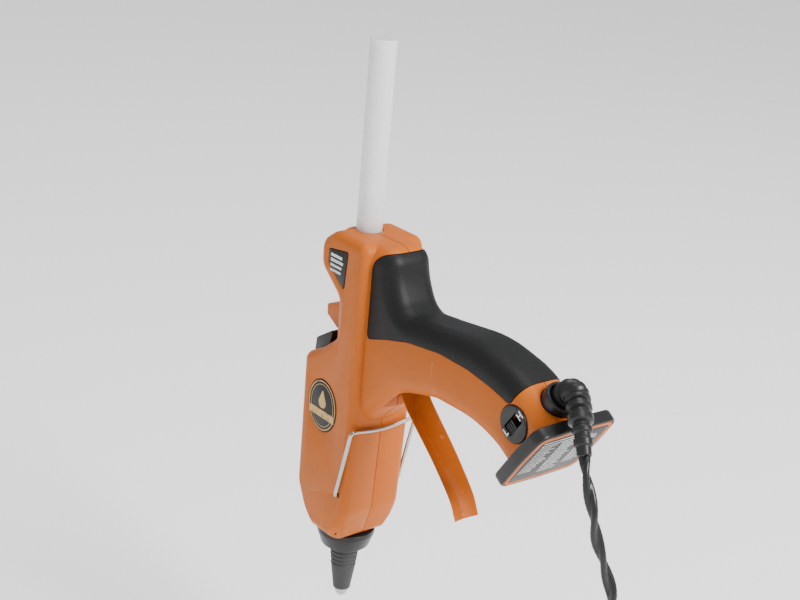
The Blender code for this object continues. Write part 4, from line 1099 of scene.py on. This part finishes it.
def glueStick(setup):
    radius, low, high = setup["radius"], setup["front"], setup["end"]
    profile = softProfile([(0, high - setup["dish"], 0), (radius - 1.6, high, 1.0),
                           (radius, high, setup["round"]), (radius, low, setup["round"]),
                           (0, low, 0)])
    mesh = lathe(profile, sides=96)
    return piece("glueStick", mesh, glueWax, "stick", "glue_stick", sharp=50.0)


glueStick(stickSetup)

standSetup = {"wire": 0.85, "reach": 35.0, "lean": math.radians(13.5), "half": 16.0,
              "foot": Vector((12.5, 0, 24))}


def wireStand(setup):
    out = setup["half"] + setup["wire"] + 0.55
    root = setup["half"] - 1.4
    leg = Vector((math.sin(setup["lean"]), 0, math.cos(setup["lean"])))
    reach = setup["reach"]

    def spot(along, y):
        return (setup["foot"] + leg * along + yAxis * y) * mm

    half = [spot(0, root), spot(0, out - 1.5), spot(0.45, out - 0.45), spot(1.6, out),
            spot(reach * 0.25, out), spot(reach * 0.5, out), spot(reach * 0.75, out),
            spot(reach - 2.4, out), spot(reach - 0.9, out - 0.4), spot(reach - 0.2, out - 1.6),
            spot(reach - 0.5, out - 4), spot(reach - 1.6, out * 0.35)]
    route = half + [spot(reach - 2, 0)] + [Vector((p.x, -p.y, p.z)) for p in reversed(half)]
    path = smoothPath(route, 0.5 * mm)
    mesh = sweep(path, lambda index: circleSection(setup["wire"] * mm, 24))
    return piece("wireStand", mesh, brightWire, "stand", "wire_stand", sharp=50.0)


wireStand(standSetup)
print("stage: stick and stand made")

# nose

noseSetup = {"tip": -37.4, "tipRadius": 3.1, "sleeveEnd": -33.0, "hole": 9.6}


def nosePieces(setup):
    tip, radius, end = setup["tip"], setup["tipRadius"], setup["sleeveEnd"]
    nozzle = softProfile([
        (4.5, 9, 0), (4.5, 1.6, 0), (6.4, 1.6, 0.3), (6.4, -3, 0.4), (5, -4.5, 0.4),
        (radius, end, 0.5), (radius, tip + 3, 1), (radius - 0.6, tip + 1.3, 0.6),
        (radius - 1.8, tip, 0.3), (0.8, tip, 0.2), (0.8, end, 0), (1.4, -28, 0), (1.4, 9, 0)])
    piece("nozzle", lathe(nozzle), castAluminium, "housing", "nozzle")
    sleeve = [(7.3, -5, 0.3), (7.3, -9, 1.0)]
    for rib in range(4):                                 # soft ribs down the sleeve
        height = -11.5 - rib * 2.2
        wide = 7.0 - (rib * 2.2 + 2.5) * 0.12
        sleeve += [(wide, height, 0.3), (wide - 0.5, height - 0.5, 0.2),
                   (wide - 0.5, height - 1.3, 0.2), (wide - 0.1, height - 1.8, 0.3)]
    sleeve += [(radius + 1.1, end + 2, 0.4), (radius + 0.9, end, 0.3), (radius + 0.3, end, 0),
               (5.3, -5, 0)]
    piece("nozzleSleeve", lathe(softProfile(sleeve)), darkSilicone, "housing", "nozzle_sleeve")
    inner = setup["hole"] - 0.3
    collar = softProfile([
        (inner, 4, 0.2), (inner, -0.3, 0), (13.2, -0.3, 0.4), (13.2, -2.6, 0.8), (11, -9, 0.6),
        (8.6, -9, 0.3), (8.2, -8, 0.3), (8.2, 4, 0)])
    piece("noseCollar", lathe(collar), blackNylon, "housing", "nose_collar")


nosePieces(noseSetup)
print("stage: nose made")

# switch with its two generic letters

switchSetup = {"radius": 7.4, "thick": 1.6, "proud": 0.5, "stem": (4.6, 4.2), "travel": 4.0,
               "letter": 4.3, "letterAway": 5.55, "half": 12.3}


def switchSpace(depth):
    # local X along the butt, local Y up the dial, local Z out of the left side
    rows = Matrix((buttAlong, -buttOut, -yAxis)).transposed()
    face = butt["switch"] - yAxis * (switchSetup["half"] + switchSetup["proud"] - depth) * mm
    return Matrix.Translation(face) @ rows.to_4x4()


def switchPieces(setup):
    plate = lathe(softProfile([(0, 0, 0), (0, -setup["thick"], 0),
                               (setup["radius"], -setup["thick"], 0), (setup["radius"], 0, 0.45)]),
                  switchSpace(0))
    mesh = softened(carved(plate, [("DIFFERENCE", switchBlock(*sliderRoom))]), 0.25 * mm, 3, 50)
    piece("switchPlate", mesh, blackNylon, "housing", "switch_plate")
    long, wide = setup["stem"]
    slider = switchBlock(long * mm, wide * mm, 6.4 * mm,
                         (setup["half"] + setup["proud"] - 0.4) * mm)
    grips = []
    for ridge in (-1.2, 0.0, 1.2):                       # finger ridges across the knob
        groove = blockMesh(Vector((ridge - 0.28, -3, -0.35)) * mm,
                           Vector((ridge + 0.28, 3, 0.6)) * mm)
        groove.transform(switchSpace(0.4))
        grips.append(("DIFFERENCE", groove))
    slider = softened(carved(slider, grips), 0.22 * mm, 2)
    slider.transform(Matrix.Translation(-buttAlong * setup["travel"] / 2 * mm))
    piece("switchSlider", slider, blackNylon, "switch", "switch_slider")


switchPieces(switchSetup)


def dialLetter(name, letter, away):
    text = bpy.data.curves.new(name, "FONT")
    text.body = letter
    text.size = switchSetup["letter"] * mm
    text.align_x = "CENTER"
    text.align_y = "CENTER"
    text.extrude = 0.04 * mm
    text.offset = 0.09 * mm
    helper = placed(name, text)
    helper.matrix_world = switchSpace(-0.03) @ Matrix.Translation((away * mm, 0, 0))
    mesh = cleaned(evaluated(helper), 0.001 * mm)
    piece(name, mesh, whiteInk, "housing")


dialLetter("dialHigh", "H", switchSetup["letterAway"])
dialLetter("dialLow", "L", -switchSetup["letterAway"])
print("stage: switch made")


# rows of plain bars for the labels, made with geometry nodes

def openTree(name, wanted):
    # a tree with named inputs, each (name, kind, usual value), and the inputs to work with
    tree = bpy.data.node_groups.new(name, "GeometryNodeTree")
    face = tree.interface
    face.new_socket("Geometry", in_out="OUTPUT", socket_type="NodeSocketGeometry")
    for label, kind, value in wanted:
        made = face.new_socket(label, in_out="INPUT", socket_type=kind)
        if value is not None:
            made.default_value = value
    given = tree.nodes.new("NodeGroupInput")
    return Flow(tree), {label: Flow(tree, given.outputs[label]) for label, _, _ in wanted}


def closeTree(flow, points, part, material, **how):
    # the part on each point, made real and given its material
    spread = flow.make("GeometryNodeInstanceOnPoints", None,
                       {"Points": points, "Instance": part, **how})
    real = flow.make("GeometryNodeRealizeInstances", None, {"Geometry": spread})
    done = flow.make("GeometryNodeSetMaterial", None, {"Geometry": real, "Material": material})
    end = flow.tree.nodes.new("NodeGroupOutput")
    flow.tree.links.new(done.socket, end.inputs[0])
    return flow.tree


def barTree():
    # rows of plain bars: local X along a bar, local Y down the rows
    wanted = (("Rows", "NodeSocketInt", 8), ("Row Pitch", "NodeSocketFloat", 0.001),
              ("Bar Length", "NodeSocketFloat", 0.01), ("Bar Width", "NodeSocketFloat", 0.0005),
              ("Bar Thickness", "NodeSocketFloat", 0.0001), ("Shortest", "NodeSocketFloat", 0.7),
              ("Seed", "NodeSocketInt", 3), ("Ink", "NodeSocketMaterial", None))
    flow, inputs = openTree("labelBars", wanted)
    step = flow.make("ShaderNodeCombineXYZ", None, {1: inputs["Row Pitch"] * -1.0})
    line = flow.make("GeometryNodeMeshLine", {"mode": "OFFSET"},
                     {"Count": inputs["Rows"], "Offset": step})
    size = flow.make("ShaderNodeCombineXYZ", None, {0: inputs["Bar Length"],
                                                    1: inputs["Bar Width"],
                                                    2: inputs["Bar Thickness"]})
    bar = flow.make("GeometryNodeMeshCube", None, {"Size": size})
    # bars start flush at the left, so each is moved by half its length first
    aside = flow.make("ShaderNodeCombineXYZ", None, {0: inputs["Bar Length"] * 0.5})
    bar = flow.make("GeometryNodeTransform", None, {"Geometry": bar, "Translation": aside})
    share = flow.make("FunctionNodeRandomValue", {"data_type": "FLOAT"},
                      {2: inputs["Shortest"], 3: 1.0, 8: inputs["Seed"]}, out=1)
    scale = flow.make("ShaderNodeCombineXYZ", None, {0: share, 1: 1.0, 2: 1.0})
    return closeTree(flow, line, bar, inputs["Ink"], Scale=scale)


def grownFrom(tree, mesh, values):
    # the tree's result on this mesh, as a plain mesh
    helper = placed("grown", mesh)
    modifier = helper.modifiers.new("nodes", "NODES")
    modifier.node_group = tree
    for item in tree.interface.items_tree:
        if item.in_out == "INPUT" and item.name in values:
            modifier[item.identifier] = values[item.name]
    return evaluated(helper)


bars = barTree()


def barRows(name, space, rows, pitch, long, wide, shortest, seed):
    mesh = grownFrom(bars, bpy.data.meshes.new("empty"), {
        "Rows": rows, "Row Pitch": pitch * mm, "Bar Length": long * mm, "Bar Width": wide * mm,
        "Bar Thickness": 0.08 * mm, "Shortest": shortest, "Seed": seed, "Ink": whiteInk})
    mesh.transform(space)
    return piece(name, mesh, whiteInk, "housing")


# foot plate

footSetup = {"width": 42.0, "length": 36.6, "corner": 5.0, "thick": 5.3, "rim": 1.1,
             "border": 1.7, "pocket": 3.0, "label": 0.8}


def footOutline(inset):
    w, l = footSetup["width"] / 2 - 1, footSetup["length"] / 2 - 1
    r = footSetup["corner"]
    outline = filletOutline(((-w, -l, r), (0, -l - 1, 60), (w, -l, r), (w + 1, 0, 60),
                             (w, l, r), (0, l + 1, 60), (-w, l, r), (-w - 1, 0, 60)))
    return grownOutline(outline, -inset * mm)


def footLayer(inset, top, bottom, edge=0.0):
    return plateMesh(footOutline(inset), (bottom - top) / 2 * mm, edge * mm,
                     buttSpace((bottom + top) / 2 * mm))


def footPieces(setup):
    rim, border = setup["rim"], setup["border"]
    outer = footLayer(0, 0, setup["thick"], 1.1)
    mesh = carved(outer, [("DIFFERENCE", footLayer(rim, -1, setup["pocket"]))])
    piece("footRim", softened(mesh, 0.2 * mm, 2, 50), blackNylon, "housing", "foot_rim")
    plate = footLayer(rim + 0.3, 0, setup["pocket"] - 0.3)
    bed = footLayer(rim + 0.3 + border, -1, setup["label"] + 0.3)
    mesh = carved(plate, [("DIFFERENCE", bed)])
    piece("footPlate", softened(mesh, 0.35 * mm, 3), orangeAbs, "housing", "foot_plate")
    label = softened(footLayer(rim + 0.6 + border, 0, setup["label"]), 0.12 * mm)
    piece("footLabel", label, printedBlack, "housing", "foot_label")


footPieces(footSetup)

# (name, across, along, rows, pitch, length, width, shortest, seed), from the label's middle
footBars = (
    ("footLinesLeft", -15.6, 9.6, 15, 1.28, 9.6, 0.27, 0.62, 4),
    ("footLinesMiddle", -4.6, 9.6, 17, 1.28, 9.8, 0.27, 0.70, 9),
    ("footLinesRight", 6.6, 9.6, 15, 1.28, 9.4, 0.27, 0.55, 17),
    ("footLinesHead", -15.6, 12.9, 2, 1.9, 22.0, 0.42, 0.90, 2),
)
for name, across, along, *lines in footBars:
    barRows(name, buttSpace(-0.02 * mm) @ Matrix.Translation((across * mm, along * mm, 0)), *lines)
print("stage: foot made")

# side label and oval badge

sideFace = -(housing["barrelHalf"] + 0.15) * mm


def facePlate(outline, depth=0.95 * mm, rounding=0.2 * mm):
    mesh = plateMesh(outline, depth / 2, 0, sideSpace(sideFace + depth / 2))
    return softened(mesh, rounding)


piece("sideLabel", facePlate(labelOutline), printedBlack, "housing", "side_label")
# (name, x, z, rows, pitch, length, width, shortest, seed)
labelMarks = (
    ("labelMarkUpper", -3.9, 130.9, 2, 2.2, 8.6, 1.25, 0.8, 5),
    ("labelMarkLower", -3.9, 126.4, 2, 2.2, 8.2, 1.0, 0.8, 6),
)
for name, x, z, *lines in labelMarks:
    barRows(name, Matrix.Translation((x * mm, sideFace - 0.01 * mm, z * mm)) @ sideRows, *lines)

badgeSetup = {"centre": (-3.0, 61.0), "half": (10.2, 12.0)}


def ellipseRing(inset, wide, high=0.10):
    # a raised line that follows the badge's edge
    cx, cz = badgeSetup["centre"]
    a, b = badgeSetup["half"]
    outline = [Vector(((a - inset) * math.cos(t), (b - inset) * math.sin(t)))
               for t in (math.tau * k / 96 for k in range(96))]
    ring = grownOutline([p * mm for p in outline], -wide * mm)
    middle = Matrix.Translation((cx * mm, sideFace, cz * mm)) @ sideRows
    outer = plateMesh([p * mm for p in outline], high * mm, 0, middle)
    inner = plateMesh(ring, 2 * high * mm, 0, middle)
    return carved(outer, [("DIFFERENCE", inner)])


def badgePieces():
    cx, cz = badgeSetup["centre"]
    piece("ovalBadge", facePlate(badgeOutline), printedBlack, "housing", "oval_badge")
    piece("badgeRingOuter", ellipseRing(0.5, 0.45), goldInk, "housing")
    piece("badgeRingInner", ellipseRing(2.1, 0.22), goldInk, "housing")
    # a plain drop of glue and a band under it
    drop = filletOutline(((0, 5.6, 0.3), (2.9, -0.2, 2.6), (1.8, -2.9, 2.2), (-1.8, -2.9, 2.2),
                          (-2.9, -0.2, 2.6)))
    middle = Matrix.Translation((cx * mm, sideFace, (cz + 1.8) * mm)) @ sideRows
    piece("badgeDrop", plateMesh(drop, 0.09 * mm, 0, middle), goldInk, "housing")
    band = filletOutline(((-9.2, -5.6, 0.4), (9.2, -5.6, 0.4), (8.6, -2.2, 0.4), (-8.6, -2.2, 0.4)))
    middle = Matrix.Translation((cx * mm, sideFace, cz * mm)) @ sideRows
    piece("badgeBand", plateMesh(band, 0.12 * mm, 0, middle), goldInk, "housing")


badgePieces()
print("stage: labels made")

# swivel socket at the handle's butt

socketSetup = {"cup": 7.0, "high": 4.2, "seat": 2.6, "stem": 3.6}


def swivelSocket(setup):
    cup, high, seat, stem = setup["cup"], setup["high"], setup["seat"], setup["stem"]
    profile = softProfile([
        (cup - 0.3, high, 0.5), (cup, high - 1, 0.5), (cup, -seat, 0.2), (stem + 0.4, -seat, 0),
        (stem + 0.4, -0.9, 0.1), (5.5, 0.1, 0.3), (5.5, high, 0.4)])
    mesh = lathe(profile, axisSpace(swivelPlace(0), buttAlong))
    piece("swivelSocket", mesh, blackNylon, "housing", "swivel_socket")


swivelSocket(socketSetup)


# shell screws, made with geometry nodes on one point each

def screwTree():
    # a crossed recess in a head on each of the mesh's points
    wanted = (("Geometry", "NodeSocketGeometry", None), ("Head Radius", "NodeSocketFloat", 0.0027),
              ("Head Depth", "NodeSocketFloat", 0.0018), ("Recess Length", "NodeSocketFloat", 0.003),
              ("Recess Width", "NodeSocketFloat", 0.0007),
              ("Recess Depth", "NodeSocketFloat", 0.0011), ("Finish", "NodeSocketMaterial", None))
    flow, inputs = openTree("shellScrews", wanted)
    # the head's outside is at local Z 0; it is a short drum with a narrower face
    drum = flow.make("GeometryNodeMeshCone", {"fill_type": "NGON"}, {
        "Vertices": 40, "Radius Top": inputs["Head Radius"] * 0.86,
        "Radius Bottom": inputs["Head Radius"], "Depth": inputs["Head Depth"]})
    down = flow.make("ShaderNodeCombineXYZ", None, {2: inputs["Head Depth"] * -1.0})
    drum = flow.make("GeometryNodeTransform", None, {"Geometry": drum, "Translation": down})
    cutters = []
    for turned in (False, True):
        sizes = [inputs["Recess Length"], inputs["Recess Width"]]
        if turned:
            sizes.reverse()
        size = flow.make("ShaderNodeCombineXYZ", None, {0: sizes[0], 1: sizes[1],
                                                        2: inputs["Recess Depth"] * 2.0})
        cutters.append(flow.make("GeometryNodeMeshCube", None, {"Size": size}))
    head = drum
    for cutter in cutters:
        head = flow.make("GeometryNodeMeshBoolean", {"operation": "DIFFERENCE"},
                         {0: head, 1: cutter})
    tilt = flow.make("FunctionNodeRandomValue", {"data_type": "FLOAT"}, {3: 1.5, 8: 11}, out=1)
    turn = flow.make("ShaderNodeCombineXYZ", None, {0: -math.pi / 2, 1: tilt})
    return closeTree(flow, inputs["Geometry"], head, inputs["Finish"], Rotation=turn)


def shellScrews(setup):
    spots = []
    for spot in setup["screws"]:
        outer = screwHalf(setup, spot) - setup["screwSunk"]
        spots.append(Vector((spot[0], outer, spot[1])) * mm)
    points = bpy.data.meshes.new("screwPoints")
    points.from_pydata(spots, [], [])
    mesh = grownFrom(screwTree(), points, {
        "Head Radius": setup["screwHead"] * mm, "Head Depth": setup["screwThick"] * mm,
        "Finish": zincSteel})
    nodes = [f"shell_screw_{index + 1}" for index in range(len(spots))]
    return piece("shellScrews", mesh, zincSteel, "housing", *nodes)


shellScrews(housing)
print("stage: swivel and screws made")

springSetup = {"radius": 7.0, "wire": 0.45, "low": 77.0, "high": 91.9, "turns": 4.5,
               "seat": 76.55, "kept": 0.28}


def returnSpring(setup):
    # the spring that closes up towards its seat as the carriage is pushed forward, made here as a
    # fixed helix
    count = round(setup["turns"] * 36)
    path = []
    for k in range(count + 1):
        angle = math.tau * k / 36
        height = setup["low"] + (setup["high"] - setup["low"]) * k / count
        path.append(Vector((setup["radius"] * math.cos(angle), setup["radius"] * math.sin(angle),
                            height)) * mm)
    mesh = sweep(path, lambda index: circleSection(setup["wire"] * mm, 12))
    spring = piece("returnSpring", mesh, zincSteel, "housing", "return_spring", sharp=50.0)
    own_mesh(spring)


returnSpring(springSetup)

# inner pieces keep the frame's own shapes and get a finish

innerFinish = {
    "melt_chamber": castAluminium, "inlet_seal": clearSilicone, "stick_guide": blackNylon,
    "heater_plate": zincSteel, "heater_clip": zincSteel, "thermal_fuse": blackNylon,
    "circuit_board": boardGreen, "feed_carriage": blackNylon, "grip_jaw": zincSteel,
    "jaw_pin": zincSteel, "trigger_pin": zincSteel,
    "switch_body": blackNylon, "swivel_retainer": zincSteel,
}
for name, made in innerFinish.items():
    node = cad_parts[name]
    node.data.materials.clear()
    node.data.materials.append(made)
print("stage: inner pieces finished")
